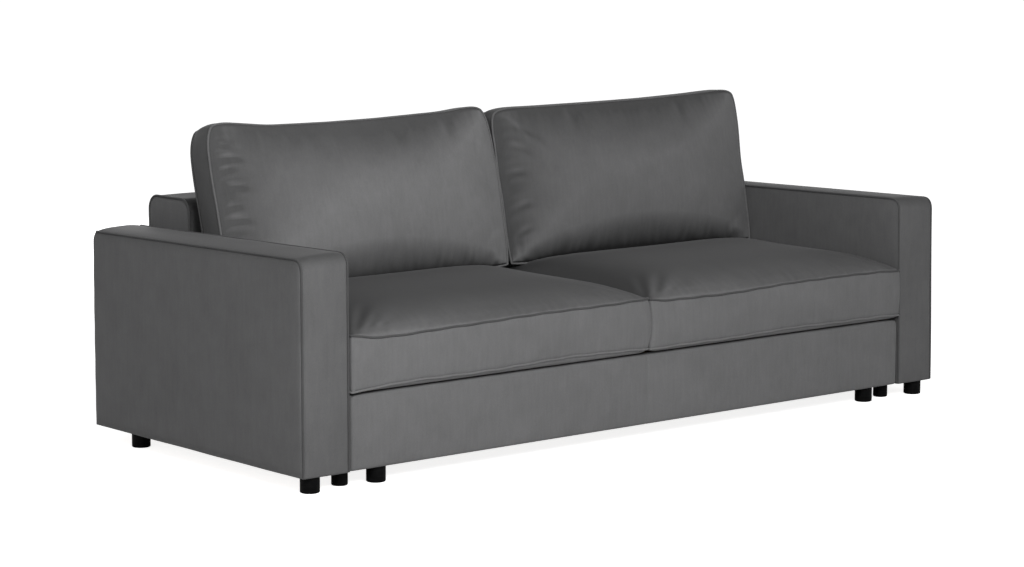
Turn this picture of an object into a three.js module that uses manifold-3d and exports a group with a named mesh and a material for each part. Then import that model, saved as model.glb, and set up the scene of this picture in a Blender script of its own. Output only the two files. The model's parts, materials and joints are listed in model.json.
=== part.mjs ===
// Sleeper sofa with a pull-out bed. Two upholstered arms and a low back block stand round a seat carriage,
// which slides forward on rollers. Its slats run between the fixed slats of the base, so that they carry the
// whole bed. Two seat cushions ride on the carriage, and two loose back cushions lean on the block.
//
// Millimetres, +X to the viewer's right, +Y to the rear, +Z up. Inside the sofa group, y is counted from the
// front faces of the arms and z from the floor. Left and right are the viewer's.

import * as THREE from 'three';
import { ParametricGeometry } from 'three/addons/geometries/ParametricGeometry.js';
import { mergeGeometries, mergeVertices } from 'three/addons/utils/BufferGeometryUtils.js';
import Module from 'manifold-3d';

const wasm = await Module();
wasm.setup();

// Whole sofa
const WIDTH = 2300;
const ARM_DEPTH = 955;
const ARM_WIDTH = 150;
const ARM_TOP = 592;
const FOOT_HEIGHT = 42;
const SEAT_OVERHANG = 12;

// Gaps: between faces that touch, between faces that pass each other, and round a shank in its hole
const FIT_GAP = 0.3;
const SLIDE_GAP = 3;
const HOLE_GAP = 0.4;
const CUT_OVERRUN = 20;
const MERGE_DISTANCE = 1e-4;

// Upholstered boxes: the arms and the back block
const ARM_NOSE_RADIUS = 47;
const ARM_PADDING = 14;
const BACK_PADDING = 16;
const TOP_PADDING = 32;
const BACK_TOP_RADIUS = 38;
const COVER_EDGE_ROUND = 5;
const FRAME_BOARD = 16;
const BASE_BOARD = 12;

// Back block: its rear face is set in from the rear of the arms
const BACK_SETBACK = 52;
const BACK_THICKNESS = 193;
const BACK_TOP = 665;

// Fixed base
const SLAT_TOP = 248;
const SLAT_THICKNESS = 18;
const SLAT_SPACE = 28;
const SLAT_COUNT = 15;
const RAIL_THICKNESS = 30;
const BATTEN_WIDTH = 30;
const BATTEN_HEIGHT = 22;
const BATTEN_RISE = 18;
const CROSS_RAIL_DEPTH = 40;
const CROSS_RAIL_HEIGHT = 60;
const FRONT_BEAM_GAP = 6;

// Feet
const FOOT_RADIUS = 25;
const RAIL_FOOT_RADIUS = 21;
const FOOT_EDGE_ROUND = 4;
const STUD_RADIUS = 4;
const STUD_LENGTH = 9;
const ARM_FOOT_SIDE_INSET = 50;
const ARM_FOOT_FRONT_INSET = 32;
const REAR_FOOT_INSET = 155;
const RAIL_FOOT_SIDE_INSET = 10;
const RAIL_FOOT_FRONT_INSET = 30;
const PANEL_FOOT_SETBACK = 10;

// Bolts that join the side rails to the arms
const BOLT_RADIUS = 4;
const BOLT_HEAD_RADIUS = 10;
const BOLT_HEAD_HEIGHT = 4;
const BOLT_PROUD = 8;
const BOLT_RISE = 200;
const FRONT_BOLT_SETBACK = 150;
const REAR_BOLT_GAP = 110;

// Front panel of the carriage
const PANEL_DROP = 12;
const PANEL_PADDING = 9;
const PANEL_BOARD = 16;
const PANEL_CORNER_RADIUS = 14;
const PANEL_SIDE_GAP = 4;

// Carriage behind the panel: its rear rail comes up to the fixed front beam when the bed is out, after 460 mm
const SIDE_BOARD = 18;
const SIDE_BOARD_HEIGHT = 109;
const FRONT_RAIL_DEPTH = 34;
const CORNER_BLOCK_SIZE = 50;
const CARRIAGE_REAR_ROOM = 62;
const SLAT_REAR_GAP = 20;
const ROLLER_RADIUS = 20;
const ROLLER_WIDTH = 20;
const ROLLER_SIDE_GAP = 4;
const AXLE_RADIUS = 5;
const AXLE_HEAD_RADIUS = 9;
const AXLE_HEAD_HEIGHT = 3;

// Seat cushions
const SEAT_REAR_GAP = 10;
const SEAT_BORDER = 134;
const SEAT_CROWN = 64;
const CUSHION_GAP = 3;

// Back cushions
const BACK_CUSHION_HEIGHT = 466;
const BACK_CUSHION_PLAY = 26;
const BACK_CUSHION_BORDER = 104;
const BACK_CUSHION_FRONT_CROWN = 48;
const BACK_CUSHION_REAR_CROWN = 40;
const REST_GAP = 0.5;

// How each back cushion stands: its gap to the middle plane, how far its lower edge is in front of the back
// block and sunk below the seat's crown, and the degrees that it leans back and turns
const BACK_CUSHION_PLACES = {
  left: { middleGap: 18, standOff: 117, sink: 38, lean: 13, turn: 2 },
  right: { middleGap: 14, standOff: 65, sink: 34, lean: 9, turn: 1.5 },
};

// Cushion form: how far the sides draw in, the border swells and the corners pull in, and how soon each face
// reaches its crown from its seams
const CUSHION_DRAW_IN = 6;
const CUSHION_BORDER_SWELL = 6;
const CUSHION_CORNER_PULL = 14;
const SIDE_CROWN_POWER = 6;
const FRONT_CROWN_POWER = 2.8;
const REAR_CROWN_POWER = 5;
const EVEN_CROWN_POWER = 3;
const CORNER_POWER = 8;
const CUSHION_COLUMNS = 20;
const CUSHION_ROWS = 12;
const BORDER_ROWS = 3;

// Round stretches
const CORNER_SEGMENTS = 8;
const BEVEL_SEGMENTS = 2;
const ROUND_SEGMENTS = 20;

// Levels and faces that several pieces share
const INNER_HALF = WIDTH / 2 - ARM_WIDTH;
const RAIL_INNER = INNER_HALF - FIT_GAP - RAIL_THICKNESS;
const BATTEN_OUTER = RAIL_INNER - FIT_GAP;
const BATTEN_INNER = BATTEN_OUTER - BATTEN_WIDTH;
const BATTEN_BOTTOM = FOOT_HEIGHT + BATTEN_RISE;
const BATTEN_TOP = BATTEN_BOTTOM + BATTEN_HEIGHT;
const SLAT_BOTTOM = SLAT_TOP - SLAT_THICKNESS;
const RAIL_TOP = SLAT_BOTTOM - FIT_GAP;
const CROSS_RAIL_BOTTOM = RAIL_TOP - CROSS_RAIL_HEIGHT;
const SIDE_BOARD_TOP = CROSS_RAIL_BOTTOM - FIT_GAP;
const SIDE_BOARD_BOTTOM = SIDE_BOARD_TOP - SIDE_BOARD_HEIGHT;
const SIDE_BOARD_OUTER = BATTEN_INNER - SLIDE_GAP;
const SIDE_BOARD_INNER = SIDE_BOARD_OUTER - SIDE_BOARD;
const PANEL_BACK = PANEL_PADDING + FIT_GAP + PANEL_BOARD;
const CARRIAGE_FRONT = PANEL_BACK + FIT_GAP;
const RAIL_FRONT = PANEL_BACK + SLIDE_GAP;
const FRONT_BEAM_FRONT = CARRIAGE_FRONT + FRONT_RAIL_DEPTH + FRONT_BEAM_GAP;
const BACK_FRONT = ARM_DEPTH - BACK_SETBACK - BACK_THICKNESS;
const BASE_END = BACK_FRONT - FIT_GAP;
const REAR_RAIL_FRONT = BASE_END - CROSS_RAIL_DEPTH;
const MOVING_RAIL_BACK = REAR_RAIL_FRONT - CARRIAGE_REAR_ROOM;
const MOVING_RAIL_FRONT = MOVING_RAIL_BACK - CROSS_RAIL_DEPTH;
const FOOT_TOP = FOOT_HEIGHT - FIT_GAP;
const PANEL_TOP = SLAT_TOP - PANEL_DROP;
const SEAT_BOTTOM = SLAT_TOP + FIT_GAP;
const SEAT_TOP = SEAT_BOTTOM + SEAT_BORDER + SEAT_CROWN;
const BACK_CUSHION_WIDTH = INNER_HALF - BACK_CUSHION_PLAY;

const SIDES = { left: -1, right: 1 };

// Materials
const MATERIALS = {
  velvet: new THREE.MeshStandardMaterial({ color: '#626263', roughness: 0.85, metalness: 0 }),
  chipboard: new THREE.MeshStandardMaterial({ color: '#b89b74', roughness: 0.8, metalness: 0 }),
  pine: new THREE.MeshStandardMaterial({ color: '#d6b98a', roughness: 0.6, metalness: 0 }),
  plastic: new THREE.MeshStandardMaterial({ color: '#101011', roughness: 0.35, metalness: 0 }),
  nylon: new THREE.MeshStandardMaterial({ color: '#dedcd4', roughness: 0.45, metalness: 0 }),
  steel: new THREE.MeshStandardMaterial({ color: '#b4b6b9', roughness: 0.3, metalness: 1 }),
};

// Solids

function toSolid(geometry) {
  const bare = geometry.clone();
  bare.deleteAttribute('normal');
  bare.deleteAttribute('uv');
  const merged = mergeVertices(bare, MERGE_DISTANCE);
  const mesh = new wasm.Mesh({
    numProp: 3,
    vertProperties: merged.attributes.position.array,
    triVerts: new Uint32Array(merged.index.array),
  });
  return new wasm.Manifold(mesh);
}

function toGeometry(solid) {
  const { vertProperties, triVerts } = solid.getMesh();
  const geometry = new THREE.BufferGeometry();
  geometry.setAttribute('position', new THREE.BufferAttribute(vertProperties, 3));
  geometry.setIndex(new THREE.BufferAttribute(triVerts, 1));
  geometry.computeVertexNormals();
  return geometry;
}

// Cuts the cutters out of a placed mesh, all of them in the same group's frame.
function carve(mesh, cutters) {
  mesh.updateMatrix();
  const toLocal = mesh.matrix.clone().invert();
  let solid = toSolid(mesh.geometry);
  for (const cutter of cutters) {
    cutter.updateMatrix();
    const tool = cutter.geometry.clone().applyMatrix4(cutter.matrix).applyMatrix4(toLocal);
    solid = solid.subtract(toSolid(tool));
  }
  mesh.geometry = toGeometry(solid);
  return mesh;
}

function named(name, geometry, material) {
  const mesh = new THREE.Mesh(geometry, material);
  mesh.name = name;
  return mesh;
}

// A rectangular board between two corners.
function board(name, material, low, high) {
  const [width, depth, height] = high.map((value, axis) => value - low[axis]);
  const mesh = named(name, new THREE.BoxGeometry(width, depth, height), material);
  mesh.position.set(low[0] + width / 2, low[1] + depth / 2, low[2] + height / 2);
  return mesh;
}

// A board on one side of the sofa, given by its distances from the middle plane.
function sideBoard(name, material, side, [inner, outer], [front, rear], [bottom, top]) {
  const low = Math.min(side * inner, side * outer);
  const high = Math.max(side * inner, side * outer);
  return board(name, material, [low, front, bottom], [high, rear, top]);
}

// A turned piece: its profile is radius by height, from axis to axis, and its axis is +Z.
function turned(profile) {
  const points = profile.map(([radius, height]) => new THREE.Vector2(radius, height));
  return new THREE.LatheGeometry(points, ROUND_SEGMENTS).rotateX(Math.PI / 2);
}

function rod(radius, length) {
  return turned([[0, 0], [radius, 0], [radius, length], [0, length]]);
}

// Carries an outline round a corner: a quarter circle, or a point where the radius is nothing.
function turnCorner(shape, x, y, radius, startAngle) {
  if (radius > 0) shape.absarc(x, y, radius, startAngle, startAngle + Math.PI / 2);
  else shape.lineTo(x, y);
}

// A side outline, y to the rear and z up, drawn in by inset, with its two top corners rounded.
function sideOutline({ depth, height, frontRadius, rearRadius }, inset, bottom) {
  const front = inset;
  const rear = depth - inset;
  const top = height - inset;
  const frontRound = Math.max(frontRadius - inset, 0);
  const rearRound = Math.max(rearRadius - inset, 0);
  const shape = new THREE.Shape();
  shape.moveTo(front, bottom);
  shape.lineTo(rear, bottom);
  turnCorner(shape, rear - rearRound, top - rearRound, rearRound, 0);
  turnCorner(shape, front + frontRound, top - frontRound, frontRound, Math.PI / 2);
  return shape;
}

// An outline in y and z, drawn out along x about the middle.
function drawnAcross(shape, width, round = 0) {
  const geometry = new THREE.ExtrudeGeometry(shape, {
    depth: width - 2 * round,
    curveSegments: CORNER_SEGMENTS,
    bevelEnabled: round > 0,
    bevelThickness: round,
    bevelSize: round,
    bevelOffset: -round,
    bevelSegments: BEVEL_SEGMENTS,
  });
  geometry.translate(0, 0, round - width / 2);
  const across = new THREE.Matrix4().makeBasis(
    new THREE.Vector3(0, 1, 0),
    new THREE.Vector3(0, 0, 1),
    new THREE.Vector3(1, 0, 0),
  );
  return geometry.applyMatrix4(across);
}

// An upholstered box: a padded cover over a board frame, both open below, and a base board that closes them.
// The padding is thicker on top. Its own origin is at the middle of its lower front edge.
function upholsteredBox(name, size, padding) {
  const { width, depth } = size;
  const inner = { ...size, height: size.height - TOP_PADDING + padding };
  const hollowWidth = width - 2 * padding;
  const hollow = named('', drawnAcross(sideOutline(inner, padding, -CUT_OVERRUN), hollowWidth));
  const coverShape = sideOutline(size, 0, 0);
  const cover = named(`${name}_cover`, drawnAcross(coverShape, width, COVER_EDGE_ROUND), MATERIALS.velvet);
  carve(cover, [hollow]);

  const frameInset = padding + FIT_GAP;
  const frameBottom = BASE_BOARD + FIT_GAP;
  const frameShape = sideOutline(inner, frameInset, frameBottom);
  const frameWidth = hollowWidth - 2 * FIT_GAP;
  const frame = named(`${name}_frame`, drawnAcross(frameShape, frameWidth), MATERIALS.chipboard);
  const roomInset = frameInset + FRAME_BOARD;
  const roomShape = sideOutline(inner, roomInset, frameBottom - CUT_OVERRUN);
  const room = named('', drawnAcross(roomShape, frameWidth - 2 * FRAME_BOARD));
  carve(frame, [room]);

  const base = board(
    `${name}_base_board`,
    MATERIALS.chipboard,
    [-frameWidth / 2, frameInset, 0],
    [frameWidth / 2, depth - frameInset, BASE_BOARD],
  );
  return { cover, frame, base };
}

// A round foot with the stud that screws into the board above it.
function foot(name, radius, x, y) {
  const geometry = turned([
    [0, 0],
    [radius - FOOT_EDGE_ROUND, 0],
    [radius, FOOT_EDGE_ROUND],
    [radius, FOOT_TOP],
    [STUD_RADIUS, FOOT_TOP],
    [STUD_RADIUS, FOOT_TOP + STUD_LENGTH],
    [0, FOOT_TOP + STUD_LENGTH],
  ]);
  const mesh = named(name, geometry, MATERIALS.plastic);
  mesh.position.set(x, y, 0);
  return mesh;
}

// The hole that a foot's stud stands in.
function studHole(x, y) {
  const hole = named('', rod(STUD_RADIUS + HOLE_GAP, STUD_LENGTH + HOLE_GAP + FOOT_HEIGHT - FOOT_TOP));
  hole.position.set(x, y, FOOT_TOP);
  return hole;
}

// A turned piece laid along x, pointing away from the middle plane.
function pointOutward(mesh, side, fromCentre, y, z) {
  mesh.rotation.y = side * Math.PI / 2;
  mesh.position.set(side * fromCentre, y, z);
  return mesh;
}

// A cushion's form

// Counts from -1 to 1, closer together near the ends, where the faces turn down.
function spread(share) {
  return Math.sin((share - 1 / 2) * Math.PI);
}

// The seam, counter-clockwise from the front left corner.
function alongSeam(share) {
  const step = Math.round(share * 2 * (CUSHION_COLUMNS + CUSHION_ROWS));
  const frontEnd = CUSHION_COLUMNS;
  const rightEnd = frontEnd + CUSHION_ROWS;
  const rearEnd = rightEnd + CUSHION_COLUMNS;
  if (step <= frontEnd) return [spread(step / CUSHION_COLUMNS), -1];
  if (step <= rightEnd) return [1, spread((step - frontEnd) / CUSHION_ROWS)];
  if (step <= rearEnd) return [spread((rearEnd - step) / CUSHION_COLUMNS), 1];
  return [-1, spread((rearEnd + CUSHION_ROWS - step) / CUSHION_ROWS)];
}

// A boxed cushion that lies flat: two faces that swell between their seams, and a border that joins the
// seams. It fills the given width, depth and thickness exactly, and stands with its middle over the origin.
function cushionForm({ width, depth, border, topCrown, bottomCrown, frontPower, rearPower }) {
  const plan = (u, v) => {
    const pull = CUSHION_CORNER_PULL * Math.abs(u * v) ** CORNER_POWER;
    const halfWidth = width / 2 - CUSHION_DRAW_IN * (1 - v * v);
    const halfDepth = depth / 2 - CUSHION_DRAW_IN * (1 - u * u);
    return [u * halfWidth - Math.sign(u) * pull, v * halfDepth - Math.sign(v) * pull];
  };
  const rise = (u, v) => {
    const sideways = Math.sqrt(1 - Math.abs(u) ** SIDE_CROWN_POWER);
    const lengthways = 1 - Math.abs(v) ** (v < 0 ? frontPower : rearPower);
    return Math.max(sideways * lengthways, 0);
  };
  const top = (s, t, target) => {
    const [u, v] = [spread(s), spread(t)];
    target.set(...plan(u, v), border / 2 + topCrown * rise(u, v));
  };
  const bottom = (s, t, target) => {
    const [u, v] = [spread(1 - s), spread(t)];
    target.set(...plan(u, v), -border / 2 - bottomCrown * rise(u, v));
  };
  const side = (s, t, target) => {
    const [u, v] = alongSeam(s);
    const [x, y] = plan(u, v);
    const swell = CUSHION_BORDER_SWELL * Math.sin(t * Math.PI);
    const outX = Math.abs(u) === 1 ? u * swell : 0;
    const outY = Math.abs(v) === 1 ? v * swell : 0;
    target.set(x + outX, y + outY, (t - 1 / 2) * border);
  };
  const geometry = mergeGeometries([
    new ParametricGeometry(top, CUSHION_COLUMNS, CUSHION_ROWS),
    new ParametricGeometry(bottom, CUSHION_COLUMNS, CUSHION_ROWS),
    new ParametricGeometry(side, 2 * (CUSHION_COLUMNS + CUSHION_ROWS), BORDER_ROWS),
  ]);
  geometry.computeBoundingBox();
  const size = geometry.boundingBox.getSize(new THREE.Vector3());
  const centre = geometry.boundingBox.getCenter(new THREE.Vector3());
  geometry.translate(-centre.x, -centre.y, -geometry.boundingBox.min.z);
  return geometry.scale(width / size.x, depth / size.y, 1);
}

// The sofa's pieces

function buildArm(sideName) {
  const side = SIDES[sideName];
  const size = {
    width: ARM_WIDTH,
    depth: ARM_DEPTH,
    height: ARM_TOP - FOOT_HEIGHT,
    frontRadius: ARM_NOSE_RADIUS,
    rearRadius: 0,
  };
  const { cover, frame, base } = upholsteredBox(`arm_${sideName}`, size, ARM_PADDING);
  const middle = side * (WIDTH - ARM_WIDTH) / 2;
  for (const mesh of [cover, frame, base]) mesh.position.add(new THREE.Vector3(middle, 0, FOOT_HEIGHT));

  const footX = side * (WIDTH / 2 - ARM_FOOT_SIDE_INSET);
  const rearFootY = ARM_DEPTH - REAR_FOOT_INSET;
  carve(base, [studHole(footX, ARM_FOOT_FRONT_INSET), studHole(footX, rearFootY)]);
  const holes = boltHoles(side);
  carve(cover, holes);
  carve(frame, holes);
  return [
    cover,
    frame,
    base,
    foot(`arm_${sideName}_front_foot`, FOOT_RADIUS, footX, ARM_FOOT_FRONT_INSET),
    foot(`arm_${sideName}_rear_foot`, FOOT_RADIUS, footX, rearFootY),
  ];
}

function buildBack() {
  const size = {
    width: 2 * (INNER_HALF - FIT_GAP),
    depth: BACK_THICKNESS,
    height: BACK_TOP - FOOT_HEIGHT,
    frontRadius: BACK_TOP_RADIUS,
    rearRadius: BACK_TOP_RADIUS,
  };
  const { cover, frame, base } = upholsteredBox('back_block', size, BACK_PADDING);
  for (const mesh of [cover, frame, base]) mesh.position.add(new THREE.Vector3(0, BACK_FRONT, FOOT_HEIGHT));
  const footY = BACK_FRONT + BACK_THICKNESS / 2;
  carve(base, [studHole(0, footY)]);
  return [cover, frame, base, foot('back_block_centre_foot', FOOT_RADIUS, 0, footY)];
}

const BOLT_PLACES = { front: FRONT_BOLT_SETBACK, rear: BACK_FRONT - REAR_BOLT_GAP };
const BOLT_REACH = RAIL_THICKNESS + ARM_PADDING + FRAME_BOARD + 2 * FIT_GAP + BOLT_PROUD;

// The clearance holes through a side rail and the arm beside it.
function boltHoles(side) {
  return Object.values(BOLT_PLACES).map((fromFront) => {
    const hole = named('', rod(BOLT_RADIUS + HOLE_GAP, BOLT_REACH + 2 * CUT_OVERRUN));
    return pointOutward(hole, side, RAIL_INNER - CUT_OVERRUN, fromFront, BOLT_RISE);
  });
}

function bolt(name, side, fromFront) {
  const geometry = turned([
    [0, -BOLT_HEAD_HEIGHT - FIT_GAP],
    [BOLT_HEAD_RADIUS, -BOLT_HEAD_HEIGHT - FIT_GAP],
    [BOLT_HEAD_RADIUS, -FIT_GAP],
    [BOLT_RADIUS, -FIT_GAP],
    [BOLT_RADIUS, BOLT_REACH],
    [0, BOLT_REACH],
  ]);
  return pointOutward(named(name, geometry, MATERIALS.steel), side, RAIL_INNER, fromFront, BOLT_RISE);
}

function buildRail(sideName) {
  const side = SIDES[sideName];
  const footX = side * (INNER_HALF - RAIL_FOOT_SIDE_INSET);
  const footY = RAIL_FRONT + RAIL_FOOT_FRONT_INSET;
  const across = [RAIL_INNER, INNER_HALF - FIT_GAP];
  const along = [RAIL_FRONT, BASE_END];
  const upright = [FOOT_HEIGHT, RAIL_TOP];
  const rail = sideBoard(`side_rail_${sideName}`, MATERIALS.pine, side, across, along, upright);
  carve(rail, [studHole(footX, footY), ...boltHoles(side)]);
  return [
    rail,
    sideBoard(
      `roller_track_${sideName}`,
      MATERIALS.pine,
      side,
      [BATTEN_INNER, BATTEN_OUTER],
      along,
      [BATTEN_BOTTOM, BATTEN_TOP],
    ),
    foot(`side_rail_${sideName}_foot`, RAIL_FOOT_RADIUS, footX, footY),
    ...Object.entries(BOLT_PLACES).map(([place, y]) => bolt(`arm_bolt_${sideName}_${place}`, side, y)),
  ];
}

// Slats lie side by side across the base: the even places are fixed and the odd ones move.
function slats(name, firstPlace, front, rear) {
  const pitch = 2 * RAIL_INNER / SLAT_COUNT;
  const halfSlat = (pitch - SLAT_SPACE) / 2;
  const made = [];
  for (let place = firstPlace; place < SLAT_COUNT; place += 2) {
    const x = (place + 1 / 2) * pitch - RAIL_INNER;
    const low = [x - halfSlat, front, SLAT_BOTTOM];
    const high = [x + halfSlat, rear, SLAT_TOP];
    made.push(board(`${name}_${made.length + 1}`, MATERIALS.pine, low, high));
  }
  return made;
}

function buildBase() {
  const reach = BATTEN_OUTER;
  const beamBottom = SIDE_BOARD_TOP + SLIDE_GAP;
  return [
    ...buildRail('left'),
    ...buildRail('right'),
    board(
      'fixed_front_beam',
      MATERIALS.pine,
      [-reach, FRONT_BEAM_FRONT, beamBottom],
      [reach, FRONT_BEAM_FRONT + CROSS_RAIL_DEPTH, RAIL_TOP],
    ),
    board(
      'fixed_rear_rail',
      MATERIALS.pine,
      [-reach, REAR_RAIL_FRONT, CROSS_RAIL_BOTTOM],
      [reach, BASE_END, RAIL_TOP],
    ),
    ...slats('fixed_slat', 1, FRONT_BEAM_FRONT, BASE_END),
  ];
}

// The front panel is a padded cover drawn over the front and edges of a board.
function buildPanel() {
  const half = INNER_HALF - PANEL_SIDE_GAP;
  const height = PANEL_TOP - FOOT_HEIGHT;
  const cornerX = half - PANEL_CORNER_RADIUS;
  const cornerY = height - PANEL_CORNER_RADIUS;
  const shape = new THREE.Shape();
  shape.moveTo(-half, 0);
  shape.lineTo(half, 0);
  turnCorner(shape, cornerX, cornerY, PANEL_CORNER_RADIUS, 0);
  turnCorner(shape, -cornerX, cornerY, PANEL_CORNER_RADIUS, Math.PI / 2);
  const slab = new THREE.ExtrudeGeometry(shape, {
    depth: PANEL_BACK,
    curveSegments: CORNER_SEGMENTS,
    bevelEnabled: false,
  });
  const cover = named('front_panel_cover', slab.rotateX(Math.PI / 2), MATERIALS.velvet);
  cover.position.set(0, PANEL_BACK, FOOT_HEIGHT);

  const low = [-half + PANEL_PADDING, PANEL_PADDING, FOOT_HEIGHT + PANEL_PADDING];
  const high = [half - PANEL_PADDING, PANEL_BACK + CUT_OVERRUN, PANEL_TOP - PANEL_PADDING];
  carve(cover, [board('', null, low, high)]);
  const panel = board(
    'front_panel_board',
    MATERIALS.chipboard,
    low.map((value) => value + FIT_GAP),
    [high[0] - FIT_GAP, PANEL_BACK, high[2] - FIT_GAP],
  );
  return [cover, panel];
}

// A roller on its riveted axle, outside the rear end of a carriage side board.
function buildRoller(sideName) {
  const side = SIDES[sideName];
  const y = MOVING_RAIL_BACK - CROSS_RAIL_DEPTH / 2;
  const z = BATTEN_TOP + FIT_GAP + ROLLER_RADIUS;
  const rollerInner = SIDE_BOARD + ROLLER_SIDE_GAP;
  const rollerOuter = rollerInner + ROLLER_WIDTH;
  const axleEnd = rollerOuter + FIT_GAP + AXLE_HEAD_HEIGHT;
  const axle = turned([
    [0, -AXLE_HEAD_HEIGHT - FIT_GAP],
    [AXLE_HEAD_RADIUS, -AXLE_HEAD_HEIGHT - FIT_GAP],
    [AXLE_HEAD_RADIUS, -FIT_GAP],
    [AXLE_RADIUS, -FIT_GAP],
    [AXLE_RADIUS, rollerOuter + FIT_GAP],
    [AXLE_HEAD_RADIUS, rollerOuter + FIT_GAP],
    [AXLE_HEAD_RADIUS, axleEnd],
    [0, axleEnd],
  ]);
  const bore = AXLE_RADIUS + HOLE_GAP;
  const wheel = turned([
    [bore, rollerInner],
    [ROLLER_RADIUS, rollerInner],
    [ROLLER_RADIUS, rollerOuter],
    [bore, rollerOuter],
    [bore, rollerInner],
  ]);
  const hole = pointOutward(
    named('', rod(bore, SIDE_BOARD + 2 * CUT_OVERRUN)),
    side,
    SIDE_BOARD_INNER - CUT_OVERRUN,
    y,
    z,
  );
  return {
    hole,
    axle: pointOutward(named(`roller_axle_${sideName}`, axle, MATERIALS.steel), side, SIDE_BOARD_INNER, y, z),
    wheel: pointOutward(named(`roller_${sideName}`, wheel, MATERIALS.nylon), side, SIDE_BOARD_INNER, y, z),
  };
}

function buildCarriageSide(sideName) {
  const side = SIDES[sideName];
  const { hole, axle, wheel } = buildRoller(sideName);
  const runner = sideBoard(
    `carriage_side_${sideName}`,
    MATERIALS.pine,
    side,
    [SIDE_BOARD_INNER, SIDE_BOARD_OUTER],
    [CARRIAGE_FRONT, MOVING_RAIL_BACK],
    [SIDE_BOARD_BOTTOM, SIDE_BOARD_TOP],
  );
  carve(runner, [hole]);

  const blockOuter = SIDE_BOARD_INNER - FIT_GAP;
  const blockInner = blockOuter - CORNER_BLOCK_SIZE;
  const footX = side * (blockInner + blockOuter) / 2;
  const footY = CARRIAGE_FRONT + PANEL_FOOT_SETBACK;
  const block = sideBoard(
    `corner_block_${sideName}`,
    MATERIALS.pine,
    side,
    [blockInner, blockOuter],
    [CARRIAGE_FRONT, CARRIAGE_FRONT + CORNER_BLOCK_SIZE],
    [FOOT_HEIGHT, SIDE_BOARD_TOP],
  );
  carve(block, [studHole(footX, footY)]);
  return [runner, axle, wheel, block, foot(`front_panel_foot_${sideName}`, FOOT_RADIUS, footX, footY)];
}

function buildCarriage() {
  const reach = SIDE_BOARD_OUTER;
  return [
    ...buildPanel(),
    ...buildCarriageSide('left'),
    ...buildCarriageSide('right'),
    board(
      'carriage_front_rail',
      MATERIALS.pine,
      [-reach, CARRIAGE_FRONT, CROSS_RAIL_BOTTOM],
      [reach, CARRIAGE_FRONT + FRONT_RAIL_DEPTH, RAIL_TOP],
    ),
    board(
      'carriage_rear_rail',
      MATERIALS.pine,
      [-reach, MOVING_RAIL_FRONT, CROSS_RAIL_BOTTOM],
      [reach, MOVING_RAIL_BACK, RAIL_TOP],
    ),
    ...slats('moving_slat', 0, CARRIAGE_FRONT, BACK_FRONT - SLAT_REAR_GAP),
  ];
}

function buildSeatCushion(sideName) {
  const width = INNER_HALF - CUSHION_GAP / 2 - PANEL_SIDE_GAP;
  const depth = SEAT_OVERHANG + BACK_FRONT - SEAT_REAR_GAP;
  const form = cushionForm({
    width,
    depth,
    border: SEAT_BORDER,
    topCrown: SEAT_CROWN,
    bottomCrown: 0,
    frontPower: FRONT_CROWN_POWER,
    rearPower: REAR_CROWN_POWER,
  });
  const cushion = named(`seat_cushion_${sideName}`, form, MATERIALS.velvet);
  const x = SIDES[sideName] * (CUSHION_GAP + width) / 2;
  cushion.position.set(x, depth / 2 - SEAT_OVERHANG, SEAT_BOTTOM);
  return cushion;
}

// A back cushion stands on its lower border, and is flat only where it presses on the seat or the block.
function buildBackCushion(sideName, seatCushion, backCover) {
  const { middleGap, standOff, sink, lean, turn } = BACK_CUSHION_PLACES[sideName];
  const form = cushionForm({
    width: BACK_CUSHION_WIDTH,
    depth: BACK_CUSHION_HEIGHT,
    border: BACK_CUSHION_BORDER,
    topCrown: BACK_CUSHION_FRONT_CROWN,
    bottomCrown: BACK_CUSHION_REAR_CROWN,
    frontPower: EVEN_CROWN_POWER,
    rearPower: EVEN_CROWN_POWER,
  });
  form.translate(0, BACK_CUSHION_HEIGHT / 2, -BACK_CUSHION_REAR_CROWN - BACK_CUSHION_BORDER / 2);
  const cushion = named(`back_cushion_${sideName}`, form.rotateX(Math.PI / 2), MATERIALS.velvet);
  cushion.rotation.set(THREE.MathUtils.degToRad(-lean), 0, THREE.MathUtils.degToRad(turn), 'ZXY');
  const fromMiddle = middleGap + BACK_CUSHION_WIDTH / 2;
  cushion.position.set(SIDES[sideName] * fromMiddle, BACK_FRONT - standOff, SEAT_TOP - sink);

  const pressedSeat = seatCushion.clone();
  pressedSeat.position.z += REST_GAP;
  const blockSize = {
    depth: BACK_THICKNESS + 2 * REST_GAP,
    height: BACK_TOP - FOOT_HEIGHT,
    frontRadius: BACK_TOP_RADIUS,
    rearRadius: BACK_TOP_RADIUS,
  };
  const pressedBlock = named('', drawnAcross(sideOutline(blockSize, 0, 0), 2 * INNER_HALF));
  pressedBlock.position.copy(backCover.position).add(new THREE.Vector3(0, -REST_GAP, REST_GAP));
  return carve(cushion, [pressedSeat, pressedBlock]);
}

function buildSofa() {
  const sofa = new THREE.Group();
  sofa.name = 'sleeper_sofa';
  sofa.position.y = (SEAT_OVERHANG - ARM_DEPTH) / 2;

  const back = buildBack();
  const seatCushions = { left: buildSeatCushion('left'), right: buildSeatCushion('right') };
  const carcass = new THREE.Group().add(...buildArm('left'), ...buildArm('right'), ...back, ...buildBase());
  const carriage = new THREE.Group().add(...buildCarriage());
  const cushions = new THREE.Group().add(
    seatCushions.left,
    seatCushions.right,
    buildBackCushion('left', seatCushions.left, back[0]),
    buildBackCushion('right', seatCushions.right, back[0]),
  );
  return sofa.add(carcass, carriage, cushions);
}

export default buildSofa();
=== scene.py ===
"""Velvet upholstery, feet, timber and a plain studio for a sleeper sofa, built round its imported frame.

Metres, +X to the viewer's right, +Y to the rear, +Z up. Left and right are the viewer's.
"""

import json
import math
from functools import partial

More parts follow.
